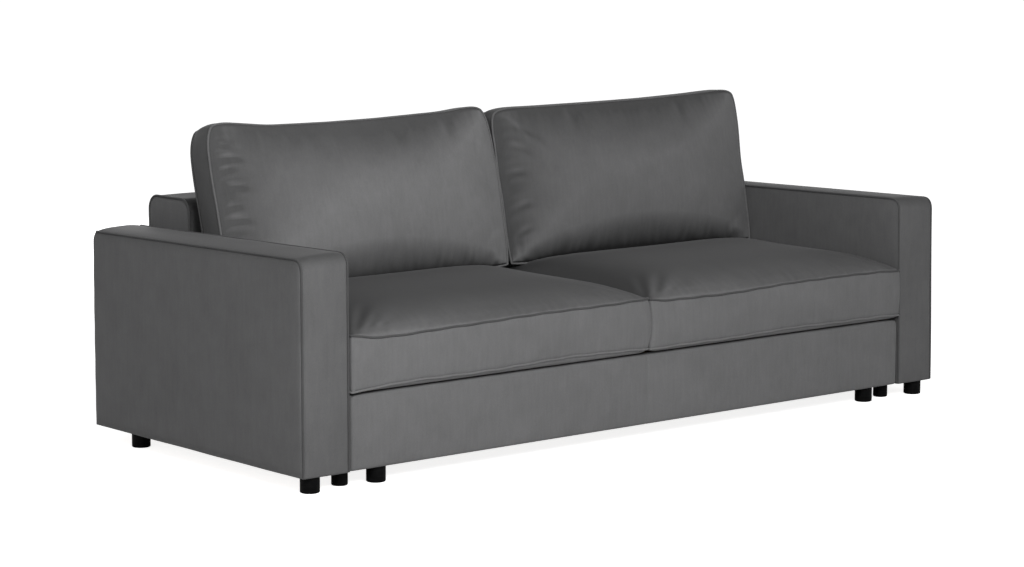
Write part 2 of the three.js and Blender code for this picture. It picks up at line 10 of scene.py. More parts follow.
import bmesh
import bpy
import numpy as np
from bpy.props import FloatProperty, FloatVectorProperty, PointerProperty
from bpy.types import Operator, Panel, PropertyGroup
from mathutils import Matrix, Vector
from mathutils.bvhtree import BVHTree
from mathutils.kdtree import KDTree

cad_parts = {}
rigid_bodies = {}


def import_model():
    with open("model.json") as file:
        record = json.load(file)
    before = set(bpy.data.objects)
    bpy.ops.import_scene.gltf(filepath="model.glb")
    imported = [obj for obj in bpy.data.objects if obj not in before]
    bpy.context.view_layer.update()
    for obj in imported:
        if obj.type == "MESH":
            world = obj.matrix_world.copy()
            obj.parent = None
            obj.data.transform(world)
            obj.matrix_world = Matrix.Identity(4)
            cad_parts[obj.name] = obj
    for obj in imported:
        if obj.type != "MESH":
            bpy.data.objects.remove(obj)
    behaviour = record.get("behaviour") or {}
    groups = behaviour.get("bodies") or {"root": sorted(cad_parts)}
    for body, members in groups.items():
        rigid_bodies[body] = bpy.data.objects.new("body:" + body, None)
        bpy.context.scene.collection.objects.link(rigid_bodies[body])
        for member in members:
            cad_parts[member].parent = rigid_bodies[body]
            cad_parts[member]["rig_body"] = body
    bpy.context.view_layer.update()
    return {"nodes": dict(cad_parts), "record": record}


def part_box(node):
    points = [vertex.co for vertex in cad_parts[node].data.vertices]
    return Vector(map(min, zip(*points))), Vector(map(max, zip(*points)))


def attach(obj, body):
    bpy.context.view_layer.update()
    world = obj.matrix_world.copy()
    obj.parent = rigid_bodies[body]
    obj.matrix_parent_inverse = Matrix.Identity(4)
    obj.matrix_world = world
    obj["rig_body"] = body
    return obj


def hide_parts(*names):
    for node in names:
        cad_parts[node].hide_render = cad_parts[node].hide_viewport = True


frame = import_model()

bl_info = {
    "name": "Sleeper sofa",
    "version": (1, 0, 0),
    "blender": (4, 5, 0),
    "location": "View3D > Sidebar > Sofa",
    "description": "Dresses a pull-out sofa in piped velvet and sets it in a plain studio",
    "category": "Add Mesh",
}

MM = 0.001
SIDES = {"left": -1, "right": 1}

# Meshes: the width of a grid's cells, the steps round a corner, and how near two points are sewn into one
CELL = 12 * MM
ROUND_STEPS = 8
SEW_DISTANCE = 0.01 * MM

# Arms and back block. A padding is the depth of cloth and filling over the frame, and a puff is how far a
# side bulges past its seam. The crown of the strip over an arm is higher to the rear.
ARM_SEAM_INSET = {"outer": 8 * MM, "inner": 3 * MM}
ARM_TOP_LEAN = {"left": 0, "right": 9 * MM}
ARM_NOSE = {"outer": 39 * MM, "inner": 33 * MM}
ARM_REAR_ROUND = 7 * MM
ARM_FRONT_DROOP = {"outer": 8 * MM, "inner": 2 * MM}
ARM_REAR_DROOP = {"outer": 21 * MM, "inner": 15 * MM}
ARM_REAR_LEAN = 15 * MM
ARM_REAR_FULLNESS = 3 * MM
ARM_TOP_GAP = 1 * MM
ARM_INNER_PUFF = 1.5 * MM
ARM_CROWN_FRONT_SHARE = 0.8
ARM_CROWN_REAR_GAIN_SHARE = 0.3
ARM_STRIP_CELLS = 14
ARM_PADDING = 13 * MM
TOP_PADDING = 31 * MM
BLOCK_ROUND = 38 * MM
BLOCK_SEAM_INSET = 4 * MM
BLOCK_PADDING = 15 * MM
BLOCK_TOP_GAP = 2 * MM
BLOCK_CROWN = 2 * MM
BLOCK_PUFF = 1.5 * MM
BLOCK_CELL = 1.3 * CELL
BLOCK_SEED = 5
PUFF_POWERS = (24, 16)
STRIP_CROWN_POWER = 3.2
STRIP_CROWN_START = 40 * MM
BOX_RIPPLE_DEPTH = 0.5 * MM
BOX_RIPPLE_LENGTH = 140 * MM

# Front panel. Its middle seam pulls a narrow groove and a wide pucker, and its top is drawn in small waves.
PANEL_EDGE_ROUND = 9 * MM
PANEL_CORNER_PULL = 4.2 * MM
PANEL_CORNER_POWER = 8
PANEL_BOARD_FACE = 9 * MM
PANEL_LINES_BESIDE_SEAM = np.array((1.5, 3, 5, 8)) * MM
PANEL_SEAM_WIDTH = 2.2 * MM
PANEL_SEAM_DEPTH = 1.4 * MM
PANEL_PUCKER_WIDTH = 26 * MM
PANEL_PUCKER_DEPTH = 1 * MM
PANEL_RIPPLE_DEPTH = 0.7 * MM
PANEL_RIPPLE_LENGTH = 170 * MM
PANEL_WAVE_DEPTH = 0.5 * MM
PANEL_WAVE_LENGTH = 95 * MM
PANEL_WAVE_START_SHARE = 0.3
PANEL_PUCKER_FOOT_SHARE = 0.3
PANEL_PUFF_POWERS = (8, 4)
PANEL_SEAM_RISE = 1.15
PANEL_SEED = 11

# Seams: how far a welt's middle lies outside its seam, in its own radius, how much of that is upward, and
# how far the welt stops short of its seam's ends
WELT_STAND = -0.1
WELT_UP_SHARE = 0.6
WELT_END = 3 * MM
WELT_SIDES = 10
WELT_CAP_STEPS = 3
GROOVE_DEPTH = 3 * MM
GROOVE_WIDTH = 5 * MM
CONTACT_GAP = 1.0 * MM

# How the velvets differ from the set colour, all of it painted light and shade on the one cloth: a share
# of it, which gives lighter and darker copies for the pieces and welts, and ways in which the cloth is
# painted darker where it faces them, by the second number and at most by the third. These paint shade on
# faces turned up, on faces turned to the left, and on the undersides of the back cushions where they meet
# the seats.
VELVETS = {
    "velvet": (1.03, (((-0.08, 0.7, 0.71), 1.17, 0.85),)),
    "block_velvet": (0.93, (((0.1, -0.4, 0.91), 0.8, 0.75),)),
    "arm_velvet": (0.81, (((0.0, 0.1, 0.99), 0.5, 0.5),)),
    "left_back_velvet": (1.26, (((-0.8, 0.12, 0.59), 2.3, 0.56), ((0.0, 0.0, -1.0), 2.65, 0.93))),
    "right_back_velvet": (1.08, (((-0.8, 0.12, 0.59), 2.4, 0.56), ((0.0, 0.05, -1.0), 3.0, 0.9))),
    "piping": (0.5, ()),
    "bright_piping": (0.93, ()),
    "pale_piping": (1.1, ()),
}

# The ways that the grain of the timber runs, along x, y and z
GRAIN_WAYS = ("lengthways", "rearwards", "upright")

# The depth of each finish's own relief
RELIEF = {
    "pile": 0.25 * MM,
    "hand_marks": 1.1 * MM,
    "pine": 0.3 * MM,
    "chipboard": 0.3 * MM,
    "plastic": 0.08 * MM,
    "nylon": 0.05 * MM,
    "steel": 0.04 * MM,
}

# Seat cushions. A play is how much smaller a cushion is than its place, and a face's fade is the height over
# which its folds begin. Falls are the crown's powers and bends to its sides, front and rear. The rear rise
# lifts the top just before the back cushion.
SEAT_SIDE_PLAY = 2 * MM
SEAT_END_PLAY = 4 * MM
SEAT_UNDER_GAP = 0.3 * MM
SEAT_LOW_SEAM = 4 * MM
SEAT_HIGH_SEAM = 134 * MM
SEAT_CORNER = {"high": 3 * MM, "low": 3 * MM}
SEAT_FALLS = ((6, 0.5), (6, 0.65), (5, 1))
SEAT_REAR_RISE = {"left": 11 * MM, "right": 12 * MM}
SEAT_REAR_PLACE_SHARE = 0.31
SEAT_REAR_REACH = 130 * MM
SEAT_MIDDLE_POWER = 6
SEAT_FACE_FOOT = 4 * MM
SEAT_FACE_FADE = 12 * MM
SEAT_GATHER_DEPTH = 0.9 * MM
SEAT_GATHER_REACH = 55 * MM
SEAT_GATHER_SEED = 3

# Back cushions, as they lie flat before they are stood up: their front is up and their lower edge in front
BACK_SEAMS = (-39 * MM, 41 * MM)
BACK_CROWNS = (53 * MM, 59 * MM)
BACK_CORNER = {"high": 15 * MM, "low": 18 * MM}
BACK_FALLS = ((4, 0.8), (3.6, 0.6), (3.4, 0.9))
BACK_OVERHANG = 7 * MM
BACK_LOWER_CORNER_SHARE = 0.3
BACK_CUSHION_WIDTH = 974 * MM
BACK_CUSHION_HEIGHT = 466 * MM
BACK_PLAY = 4 * MM
BACK_FACE_FADE = 8 * MM
BACK_SEED = 4

# Both kinds of cushion: how a face follows its seams, its bowed edges and its corners, and where the border
# swells and its swell fades to the rear
EVEN_SHARE = 0.6
SEAM_REACH_POWER = 6
DROP_FADE_POWER = 11
BOW_POWER = 3
CORNER_EDGE_SHARE = 0.15
CORNER_REACH_SHARE = 0.27
CROWN_FOOT = 2 * MM
SWELL_START_SHARE = 0.97
SWELL_RUN_SHARE = 0.03
REAR_FADE_START_SHARE = 0.1
REAR_FADE_RUN_SHARE = 0.35

# How the back cushions stand, in degrees: how far each leans back, and is turned as seen from above
BACK_CUSHION_LEAN = {"left": 13, "right": 9}
BACK_CUSHION_TURN = {"left": 2, "right": 1.5}

# The lip that hangs behind a seat cushion's lower front seam: how far behind it and how high, in millimetres
SEAT_LIP = ((0, 4), (4, -5), (12, -9), (25, -9.5), (30, -5), (36, 0.3))
LIP_CLEARANCE_SHARE = 0.01
LIP_END_POWER = 60

# The waves of every seam, across a cushion and to its rear: their height in millimetres, and their pace
WAVES_ACROSS = ((1.0, 7), (0.7, 31))
WAVES_REARWARD = (0.8, 9)

# The filling: how much of the swell it takes up, for how long it presses, and how stiff the cloth is
SLACK_SHARE = 0.45
FILLING_FRAMES = 20
FILLING_CLOTH = {
    "quality": 5,
    "mass": 0.3,
    "tension_stiffness": 12,
    "compression_stiffness": 12,
    "shear_stiffness": 4,
    "bending_stiffness": 1.5,
}

# Gathers: the lengths of the folds, how far they slant and over what length, and how they bunch and fade
GATHER_LENGTHS = (52 * MM, 36 * MM, 27 * MM)
GATHER_SLANT_SHARE = 0.16
GATHER_SLANT_LENGTH = 70 * MM
GATHER_BUNCH_SHARE = 0.8
GATHER_BUNCH_LENGTH = 45 * MM
GATHER_POWER = 0.8
GATHER_FADE = 3.2
GATHER_END_SHARE = 1.2

# How far the gathers reach from the left, right, upper and lower seam of a back cushion, and how hard that
# seam pulls them into the front face and into the rear one
BACK_GATHERS = {
    "left": ((58 * MM, 0.24, 0.8), (70 * MM, 0.12, 0.8), (70 * MM, 0.06, 0.4), (60 * MM, 0.3, 0.3)),
    "right": ((58 * MM, 0.11, 0.8), (70 * MM, 0.12, 0.8), (70 * MM, 0.06, 0.4), (60 * MM, 0.3, 0.3)),
}

# A crease's bend, how it ends, and the low ridge beside it, in shares of its length and width
CREASE_BEND_SHARE = 0.12
CREASE_END = 2.2
RIDGE_HEIGHT_SHARE = 0.25
RIDGE_PLACE_SHARE = 1.6
RIDGE_WIDTH_SHARE = 1.2

# The forms of the cushions' seams. Each pair is a share along an edge, from -1 to 1 to the right or to the
# rear or top, and how far the seam bows out there, in millimetres. A drop is how far a front seam lies off
# its level.
SEAT_DROPS = {
    "left": {
        "high": ((-1, 4), (-0.86, -10), (-0.66, -11), (-0.4, -5), (0.04, -1), (0.5, 2), (0.9, 4), (1, 6)),
        "low": ((-1, -13), (-0.9, -5), (-0.6, 0), (0, 0), (0.5, 7), (0.8, 3), (1, -2)),
    },
    "right": {
        "high": ((-1, 4), (-0.9, -6), (-0.42, -6), (0.1, 1), (0.54, 5), (0.86, 1), (1, -3)),
        "low": ((-1, -4), (-0.6, -2), (0.1, 2), (0.6, 1), (0.9, -1), (1, -5)),
    },
}
SEAT_BOWS = {
    "left": {
        "left": ((-1, 0), (0, -5), (1, 0)),
        "right": ((-1, 0), (0, -3), (0.3, -6), (0.5, -19), (1, -19)),
        "front": ((-1, -9), (-0.94, -5), (-0.86, -0.5), (-0.7, 0), (1, 0)),
    },
    "right": {"left": ((-1, 0), (0, -3), (1, 0)), "right": ((-1, 0), (0, -5), (1, 0))},
}
SEAT_SWELLS = {
    "left": {"left": 1.5 * MM, "right": 12 * MM, "front": 3 * MM, "rear": 6 * MM},
    "right": {"left": -5 * MM, "right": 1.5 * MM, "front": 3 * MM, "rear": 6 * MM},
}
BACK_BOWS = {
    "left": {
        "left": ((-1, 0), (-0.5, 3), (0.2, 6), (0.7, 7), (1, 0)),
        "right": ((-1, 2), (-0.4, 8), (0.2, 11), (0.7, 4), (1, 0)),
        "rear": ((-1, 0), (-0.92, -2), (-0.6, -20), (-0.2, -22), (0.2, -20), (0.7, -13), (0.86, -3), (1, 0)),
        "front": ((-1, 2), (0, 4), (1, 2)),
    },
    "right": {
        "left": ((-1, 12), (-0.4, 15), (0.2, 22), (0.7, 27), (1, 28)),
        "right": ((-1, 4), (-0.6, 5), (0, -3), (1, 0)),
        "rear": ((-1, -13), (-0.7, -17), (-0.2, -16), (0.2, -14), (0.6, -8), (0.9, 0), (1, 0)),
        "front": ((-1, 1), (0, 4), (1, 7)),
    },
}
BACK_SWELLS = {
    "left": {"left": 5 * MM, "right": 4 * MM, "front": 6 * MM, "rear": 7 * MM},
    "right": {"left": -6 * MM, "right": 5 * MM, "front": 6 * MM, "rear": 7 * MM},
}

# Creases in the front faces of the back cushions. Each is its place from the face's left and lower edge, its
# slant in degrees, then its length, width and depth, in millimetres.
CREASES = {
    "left": (
        (40, 398, -18, 26, 6, 2.4), (50, 364, -9, 40, 7, 3.6), (38, 334, -6, 24, 5, 2.4),
        (54, 288, -12, 42, 7, 3.8), (40, 236, -4, 26, 5, 3), (54, 200, -14, 40, 7, 3.4),
        (46, 138, 6, 34, 7, 2.6), (54, 92, 16, 38, 8, 2.2), (250, 410, 82, 52, 20, 1),
        (610, 408, 86, 56, 22, 1), (800, 404, 78, 54, 18, 1), (902, 360, 62, 60, 12, 1.5),
        (910, 96, 28, 50, 11, 1.5),
    ),
    "right": (
        (60, 396, -40, 54, 8, 3), (92, 372, -34, 66, 9, 3.2), (56, 330, -28, 46, 8, 2.4),
        (44, 262, -12, 34, 7, 1.6), (52, 170, 4, 34, 8, 1.6), (46, 96, 18, 34, 8, 1.3),
        (260, 408, 84, 56, 22, 1), (700, 410, 86, 52, 20, 1), (930, 150, 24, 40, 11, 1),
        (900, 70, 30, 56, 14, 1.5),
    ),
}

# Feet. Each stands on the outer ring of its hollow underside, and its shoulder narrows to a neck.
FOOT_EDGE = 3.5 * MM
FOOT_NECK = 1.2 * MM
FOOT_HOLLOW_DEPTH = 1.5 * MM
FOOT_HOLLOW_SHARE = 0.5
FOOT_RING_SHARE = 0.62
FOOT_RING_RISE = 0.2 * MM
FOOT_STUD_RADIUS = 4 * MM
FOOT_SHOULDER_SHARE = 0.3
FOOT_EDGE_STEPS = 6
FOOT_SIDES = 48
SHARP_ANGLE = math.radians(40)

# Timber, boards and metal: how far their edges are eased
EASED_EDGES = {"pine": 2.0 * MM, "chipboard": 0.6 * MM}
EASED_METAL_EDGE = 0.4 * MM
EASED_ANGLE = math.radians(35)

# Studio
FLOOR_REACH = 40.0
FLOOR_CELLS = 24
FLOOR_DROP = 0.2 * MM
FLOOR_GLOW = 0.85
AMBIENT_LIGHT = 0.25

# Each lamp's place, the point it is turned to, its width and height, and its power in watts
LAMPS = {
    "key_lamp": ((-1.6, -3.45, 2.4), (-0.1, -0.2, 0.45), (2.2, 1.6), 92),
    "rear_lamp": ((1.2, 5.0, 1.3), (0.2, 0.4, 0.4), (3.0, 1.6), 60),
    "fill_lamp": ((-4.65, -1.42, 1.8), (-0.1, -0.2, 0.45), (2.4, 2.0), 16),
}

# Camera: its place, its turn to the right and tilt down in degrees, and its lens in millimetres
CAMERA_PLACE = (-5.031, -5.903, 1.428)
CAMERA_TURN = 39.98
CAMERA_TILT = 7.707
CAMERA_LENS = 97.57
CAMERA_REACH = 200
SENSOR_WIDTH = 36.0


class SofaSizes(PropertyGroup):
    """Sizes that set how full and how finely sewn the upholstery looks."""

    welt: FloatProperty(
        name="Welt", description="Thickness of the piping in the seams",
        default=5.8 * MM, min=1 * MM, max=20 * MM, subtype="DISTANCE", unit="LENGTH",
    )
    arm_crown: FloatProperty(
        name="Arm crown", description="How far the padding of the arms stands above their seams",
        default=6 * MM, min=0, max=20 * MM, subtype="DISTANCE", unit="LENGTH",
    )
    side_puff: FloatProperty(
        name="Side puff", description="How far the arms' outer sides bulge past their seams",
        default=9 * MM, min=0, max=10 * MM, subtype="DISTANCE", unit="LENGTH",
    )
    face_puff: FloatProperty(
        name="Face puff", description="How far the padded flat faces bulge",
        default=3.5 * MM, min=0, max=10 * MM, subtype="DISTANCE", unit="LENGTH",
    )
    pressure: FloatProperty(
        name="Cushion pressure", description="How hard the filling presses the cushion covers out",
        default=4.0, min=0, max=20,
    )
    swell: FloatProperty(
        name="Cushion swell", description="The furthest that the filling may move a cushion cover",
        default=24 * MM, min=0, max=50 * MM, subtype="DISTANCE", unit="LENGTH",
    )
    gather: FloatProperty(
        name="Gathers", description="Depth of the gathers that the seams pull into the back cushions",
        default=3.2 * MM, min=0, max=10 * MM, subtype="DISTANCE", unit="LENGTH",
    )


class SofaColours(PropertyGroup):
    """Colours of the cloth, timber, feet and studio."""

    velvet: FloatVectorProperty(
        name="Velvet", description="Colour of the velvet", default=(0.172, 0.172, 0.174),
        min=0, max=1, subtype="COLOR",
    )
    pine: FloatVectorProperty(
        name="Pine", description="Colour of the slats and rails", default=(0.67, 0.46, 0.25),
        min=0, max=1, subtype="COLOR",
    )
    chipboard: FloatVectorProperty(
        name="Chipboard", description="Colour of the frame boards", default=(0.47, 0.33, 0.19),
        min=0, max=1, subtype="COLOR",
    )
    feet: FloatVectorProperty(
        name="Feet", description="Colour of the plastic feet", default=(0.0042, 0.0042, 0.0044),
        min=0, max=1, subtype="COLOR",
    )
    floor: FloatVectorProperty(
        name="Floor", description="Colour of the studio floor", default=(0.9, 0.9, 0.9),
        min=0, max=1, subtype="COLOR",
    )


# Materials


class Wire:
    """A node's output. Sums and products of wires add Math nodes."""

    def __init__(self, tree, socket):
        self.tree = tree
        self.socket = socket

    def join(self, socket):
        self.tree.links.new(self.socket, socket)

    def maths(self, operation, *values):
        node = self.tree.nodes.new("ShaderNodeMath")
        node.operation = operation
        for socket, value in zip(node.inputs, values):
            plug(socket, value)
        return Wire(self.tree, node.outputs[0])

    def __add__(self, other):
        return self.maths("ADD", self, other)

    def __radd__(self, other):
        return self.maths("ADD", other, self)

    def __mul__(self, other):
        return self.maths("MULTIPLY", self, other)

    def __rmul__(self, other):
        return self.maths("MULTIPLY", other, self)


def plug(socket, value):
    """Links a wire to a socket, or sets the socket to a number or a colour."""
    if isinstance(value, Wire):
        value.join(socket)
    elif hasattr(value, "__len__") and socket.type == "RGBA" and len(value) == 3:
        socket.default_value = (*value, 1)
    else:
        socket.default_value = value


class Nodes:
    """A node tree, and the ways in which nodes are added to it."""

    def __init__(self, tree):
        self.tree = tree

    def node(self, kind, settings=None, values=None, output=0):
        """Adds a node of any type: first its settings, then the values or wires of its sockets."""
        node = self.tree.nodes.new(kind)
        for name, value in (settings or {}).items():
            if name == "stops":
                set_stops(node.color_ramp, value)
            else:
                setattr(node, name, value)
        for name, value in (values or {}).items():
            plug(node.inputs[name], value)
        return Wire(self.tree, node.outputs[output])

    def place(self, stretch=(1, 1, 1)):
        """Where a point is on the sofa, stretched along each axis."""
        where = self.node("ShaderNodeTexCoord", output="Object")
        return self.node("ShaderNodeMapping", values={"Vector": where, "Scale": stretch})

    def noise(self, where, scale, detail=2.0, roughness=0.5, distortion=0.0):
        values = {"Vector": where, "Scale": scale, "Detail": detail}
        values.update({"Roughness": roughness, "Distortion": distortion})
        return self.node("ShaderNodeTexNoise", values=values, output="Fac")

    def mix(self, share, first, second):
        values = {0: share, 6: first, 7: second}
        return self.node("ShaderNodeMix", {"data_type": "RGBA"}, values, output=2)

    def ramp(self, value, *stops):
        return self.node("ShaderNodeValToRGB", {"stops": stops}, {"Fac": value})

    def bump(self, height, distance, strength=1.0, below=None):
        values = {"Height": height, "Distance": distance, "Strength": strength}
        if below is not None:
            values["Normal"] = below
        return self.node("ShaderNodeBump", values=values)


class Finish(Nodes):
    """A material: its surface shader, and the nodes that feed it."""

    def __init__(self, name, **surface):
        self.material = bpy.data.materials.new(name)
        self.material.use_nodes = True
        super().__init__(self.material.node_tree)
        self.surface = self.tree.nodes["Principled BSDF"]
        self.paint(**surface)

    def paint(self, **sockets):
        """Feeds the surface shader: base_color is its Base Color socket, and so on."""
        for name, value in sockets.items():
            plug(self.surface.inputs[name.replace("_", " ").title().replace("Ior", "IOR")], value)


def set_stops(ramp, stops):
    while len(ramp.elements) < len(stops):
        ramp.elements.new(1)
    for element, (place, shade) in zip(ramp.elements, stops):
        element.position = place
        element.color = (shade, shade, shade, 1)


def shaded(colour, share):
    return tuple(min(channel * share, 1) for channel in colour)


def make_velvet(name, colour, painted_shade_ways):
    """Velvet with painted shade: darker where the cloth faces any of its given ways."""
    finish = Finish(
        name, ior=1.45, specular_ior_level=0.2, sheen_weight=0.16, sheen_roughness=0.4,
        sheen_tint=(0.85, 0.85, 0.86),
    )
    here = finish.place()
    brushed = finish.place((110, 110, 14))
    hand_marks = finish.noise(here, 5.5, 4, 0.55, 0.6)
    clouds = finish.noise(here, 19, 3, 0.5, 0.3)
    strokes = finish.noise(brushed, 1, 3, 0.6)
    pile = finish.noise(here, 950, 2, 0.7)
    threads = finish.noise(finish.place((620, 620, 260)), 1, 1, 0.5)
    nap = hand_marks * 0.36 + clouds * 0.22 + strokes * 0.26 + pile * 0.16
    level = finish.ramp(nap, (0.38, 0.0), (0.62, 1.0))
    cloth = finish.mix(level, shaded(colour, 0.86), shaded(colour, 1.14))
    speck = finish.ramp(threads * 0.5 + pile * 0.5, (0.3, 0.0), (0.7, 1.0))
    worn = finish.mix(speck, shaded(colour, 0.7), shaded(colour, 1.3))
    facing = finish.node("ShaderNodeTexCoord", output="Normal")
    tone_with_painted_shade = finish.mix(0.3, cloth, worn)
    # Painted shade: each way darkens the colour towards black where the cloth faces it, by shade and at most
    # by limit.
    for way, shade, limit in painted_shade_ways:
        along = finish.node(
            "ShaderNodeVectorMath", {"operation": "DOT_PRODUCT"}, {0: facing, 1: way}, output="Value"
        )
        dark = along.maths("MAXIMUM", along, 0.0) * shade
        tone_with_painted_shade = finish.mix(dark.maths("MINIMUM", dark, limit), tone_with_painted_shade, (0, 0, 0))
    relief = finish.bump(hand_marks + clouds * 0.5, RELIEF["hand_marks"], 0.4)
    finish.paint(
        base_color=tone_with_painted_shade,
        roughness=0.66 + 0.22 * nap,
        normal=finish.bump(pile * 0.6 + threads * 0.4, RELIEF["pile"], 0.55, relief),
    )
    return finish.material


def make_pine(name, colour, grain_axis):
    finish = Finish(name, ior=1.45, specular_ior_level=0.35)
    along = [42, 42, 42]
    along[grain_axis] = 2.6
    where = finish.place(along)
    grain = finish.noise(where, 1, 5, 0.62, 0.8)
    fibre = finish.noise(finish.place([13 * share for share in along]), 1, 2, 0.6)
    rings = finish.node(
        "ShaderNodeTexWave", {"wave_type": "BANDS", "bands_direction": "DIAGONAL"},
        {"Vector": where, "Scale": 0.7, "Distortion": 6.0, "Detail": 2.0}, output="Fac",
    )
    knots = finish.node(
        "ShaderNodeTexVoronoi", {"feature": "F1"},
        {"Vector": finish.place([share / 8 for share in along]), "Scale": 1.0, "Randomness": 1.0},
        output="Distance",
    )
    knot = finish.ramp(knots, (0.05, 1.0), (0.12, 0.0))
    wood = finish.mix(grain * 0.7 + rings * 0.3, shaded(colour, 0.72), shaded(colour, 1.16))
    wood = finish.mix(fibre * 0.25, wood, shaded(colour, 0.6))
    finish.paint(
        base_color=finish.mix(knot * 0.7, wood, shaded(colour, 0.32)),
        roughness=0.52 + 0.2 * fibre,
        normal=finish.bump(fibre * 0.7 + grain * 0.3, RELIEF["pine"], 0.5),
    )
    return finish.material


def make_chipboard(name, colour):
    finish = Finish(name, ior=1.45, specular_ior_level=0.25)
    here = finish.place()
    flakes = finish.node(
        "ShaderNodeTexVoronoi", {"feature": "F1"},
        {"Vector": finish.place((260, 260, 420)), "Scale": 1.0}, output="Color",
    )
    tone = finish.node("ShaderNodeRGBToBW", values={"Color": flakes})
    dust = finish.noise(here, 900, 2, 0.6)
    clouds = finish.noise(here, 9, 2, 0.5)
    board = finish.mix(tone * 0.75 + dust * 0.25, shaded(colour, 0.6), shaded(colour, 1.3))
    finish.paint(
        base_color=finish.mix(clouds * 0.35, board, shaded(colour, 0.85)),
        roughness=0.74 + 0.14 * dust,
        normal=finish.bump(tone * 0.5 + dust * 0.5, RELIEF["chipboard"], 0.6),
    )
    return finish.material


def make_black_plastic(name, colour):
    finish = Finish(name, ior=1.5, specular_ior_level=0.05)
    here = finish.place()
    grain = finish.noise(here, 1400, 2, 0.6)
    scuffs = finish.noise(finish.place((40, 40, 260)), 1, 4, 0.65)
    marks = finish.ramp(scuffs, (0.5, 0.0), (0.72, 1.0))
    finish.paint(
        base_color=finish.mix(marks, colour, shaded(colour, 2.1)),
        roughness=0.34 + 0.1 * grain + 0.14 * scuffs,
        normal=finish.bump(grain, RELIEF["plastic"], 0.5),
    )
    return finish.material


def make_nylon(name):
    finish = Finish(name, ior=1.53)
    here = finish.place()
    cloud = finish.noise(here, 60, 3, 0.5)
    finish.paint(
        base_color=finish.mix(cloud, (0.62, 0.6, 0.54), (0.78, 0.76, 0.71)),
        roughness=0.38 + 0.12 * cloud,
        normal=finish.bump(finish.noise(here, 800), RELIEF["nylon"], 0.4),
    )
    return finish.material


def make_steel(name):
    finish = Finish(name, metallic=1.0)
    here = finish.place()
    bloom = finish.noise(here, 240, 4, 0.6)
    lines = finish.noise(finish.place((60, 1500, 1500)), 1, 2, 0.5)
    finish.paint(
        base_color=finish.mix(bloom, (0.36, 0.37, 0.39), (0.56, 0.57, 0.58)),
        roughness=0.26 + 0.2 * bloom,
        normal=finish.bump(lines, RELIEF["steel"], 0.4),
    )
    return finish.material


def finished(name):
    """The material of that name, made at its first use."""
    colours = bpy.context.scene.sofa_colours
    makers = {
        "chipboard": partial(make_chipboard, colour=colours.chipboard),
        "black_plastic": partial(make_black_plastic, colour=colours.feet),
        "nylon": make_nylon,
        "zinc_steel": make_steel,
    }
    for axis, way in enumerate(GRAIN_WAYS):
        makers[f"pine_{way}"] = partial(make_pine, colour=colours.pine, grain_axis=axis)
    # Each velvet is a lighter or darker copy of the set colour, painted light and shade.
    for cloth, (share, painted_shade_ways) in VELVETS.items():
        makers[cloth] = partial(make_velvet, colour=shaded(colours.velvet, share), painted_shade_ways=painted_shade_ways)
    full_name = f"sofa_{name}"
    return bpy.data.materials.get(full_name) or makers[name](full_name)


# Meshes


def steps(count):
    return np.linspace(0, 1, count + 1)


def smooth(share):
    share = np.clip(share, 0, 1)
    return share * share * (3 - 2 * share)


def grid(x, y, z):
    """A grid of points from three arrays of one shape, or arrays that spread to one."""
    return np.stack(np.broadcast_arrays(x, y, z), axis=-1).astype(float)


def rim(points):
    """The points round the edge of a grid, as a closed row."""
    return np.concatenate([points[:, 0], points[-1, 1:], points[-2::-1, -1], points[0, -2::-1]])


class Cover:
    """Panels of cloth, each a grid of points, which are sewn together where their edges meet."""

    def __init__(self):
        self.points = []
        self.quads = []
        self.pins = []
        self.panels = []
        self.count = 0

    def panel(self, points, pinned=None):
        """Adds a panel. Its edge, its first and last row or all of it is pinned against the filling."""
        rows, columns = points.shape[:2]
        index = self.count + np.arange(rows * columns).reshape(rows, columns)
        corners = (index[:-1, :-1], index[1:, :-1], index[1:, 1:], index[:-1, 1:])
        pins = np.zeros((rows, columns), bool)
        if pinned in ("edge", "rows"):
            pins[[0, -1], :] = True
        if pinned == "edge":
            pins[:, [0, -1]] = True
        if pinned == "all":
            pins[:] = True
        self.points.append(points.reshape(-1, 3))
        self.quads.append(np.stack(corners, axis=-1).reshape(-1, 4))
        self.panels += [len(self.points)] * len(self.quads[-1])
        self.pins.append(pins.ravel())
        self.count += rows * columns

    def band(self, *loops):
        """Adds a panel between closed rows of points."""
        self.panel(np.stack(loops))

    def sewn(self, name, crease=0.0):
        """The panels as one object. Where two of them meet, the seam keeps so much of its crease."""
        mesh = bpy.data.meshes.new(name)
        mesh.from_pydata(np.concatenate(self.points).tolist(), [], np.concatenate(self.quads).tolist())
        pins = mesh.attributes.new("pinned", "INT", "POINT")
        pins.data.foreach_set("value", np.concatenate(self.pins).astype(np.int32))
        panels = mesh.attributes.new("panel", "INT", "FACE")
        panels.data.foreach_set("value", np.array(self.panels, np.int32))
        work = bmesh.new()
        work.from_mesh(mesh)
        bmesh.ops.remove_doubles(work, verts=work.verts, dist=SEW_DISTANCE)
        bmesh.ops.dissolve_degenerate(work, edges=work.edges, dist=SEW_DISTANCE)
        bmesh.ops.recalc_face_normals(work, faces=work.faces)
        panel = work.faces.layers.int["panel"]
        creases = work.edges.layers.float.new("crease_edge")
        for edge in work.edges:
            if len({face[panel] for face in edge.link_faces}) > 1:
                edge[creases] = crease
        work.to_mesh(mesh)
        work.free()
        piece = bpy.data.objects.new(name, mesh)
        bpy.context.scene.collection.objects.link(piece)
        return piece


def points_of(piece):
    flat = np.zeros(len(piece.data.vertices) * 3)
    piece.data.vertices.foreach_get("co", flat)
    return flat.reshape(-1, 3)


def normals_of(piece):
    flat = np.zeros(len(piece.data.vertices) * 3)
    piece.data.vertex_normals.foreach_get("vector", flat)
    return flat.reshape(-1, 3)


def move_points(piece, points):
    piece.data.vertices.foreach_set("co", np.ascontiguousarray(points, dtype=np.float32).ravel())
    piece.data.update()


def smooth_shaded(piece):
    piece.data.polygons.foreach_set("use_smooth", [True] * len(piece.data.polygons))
    piece.data.update()


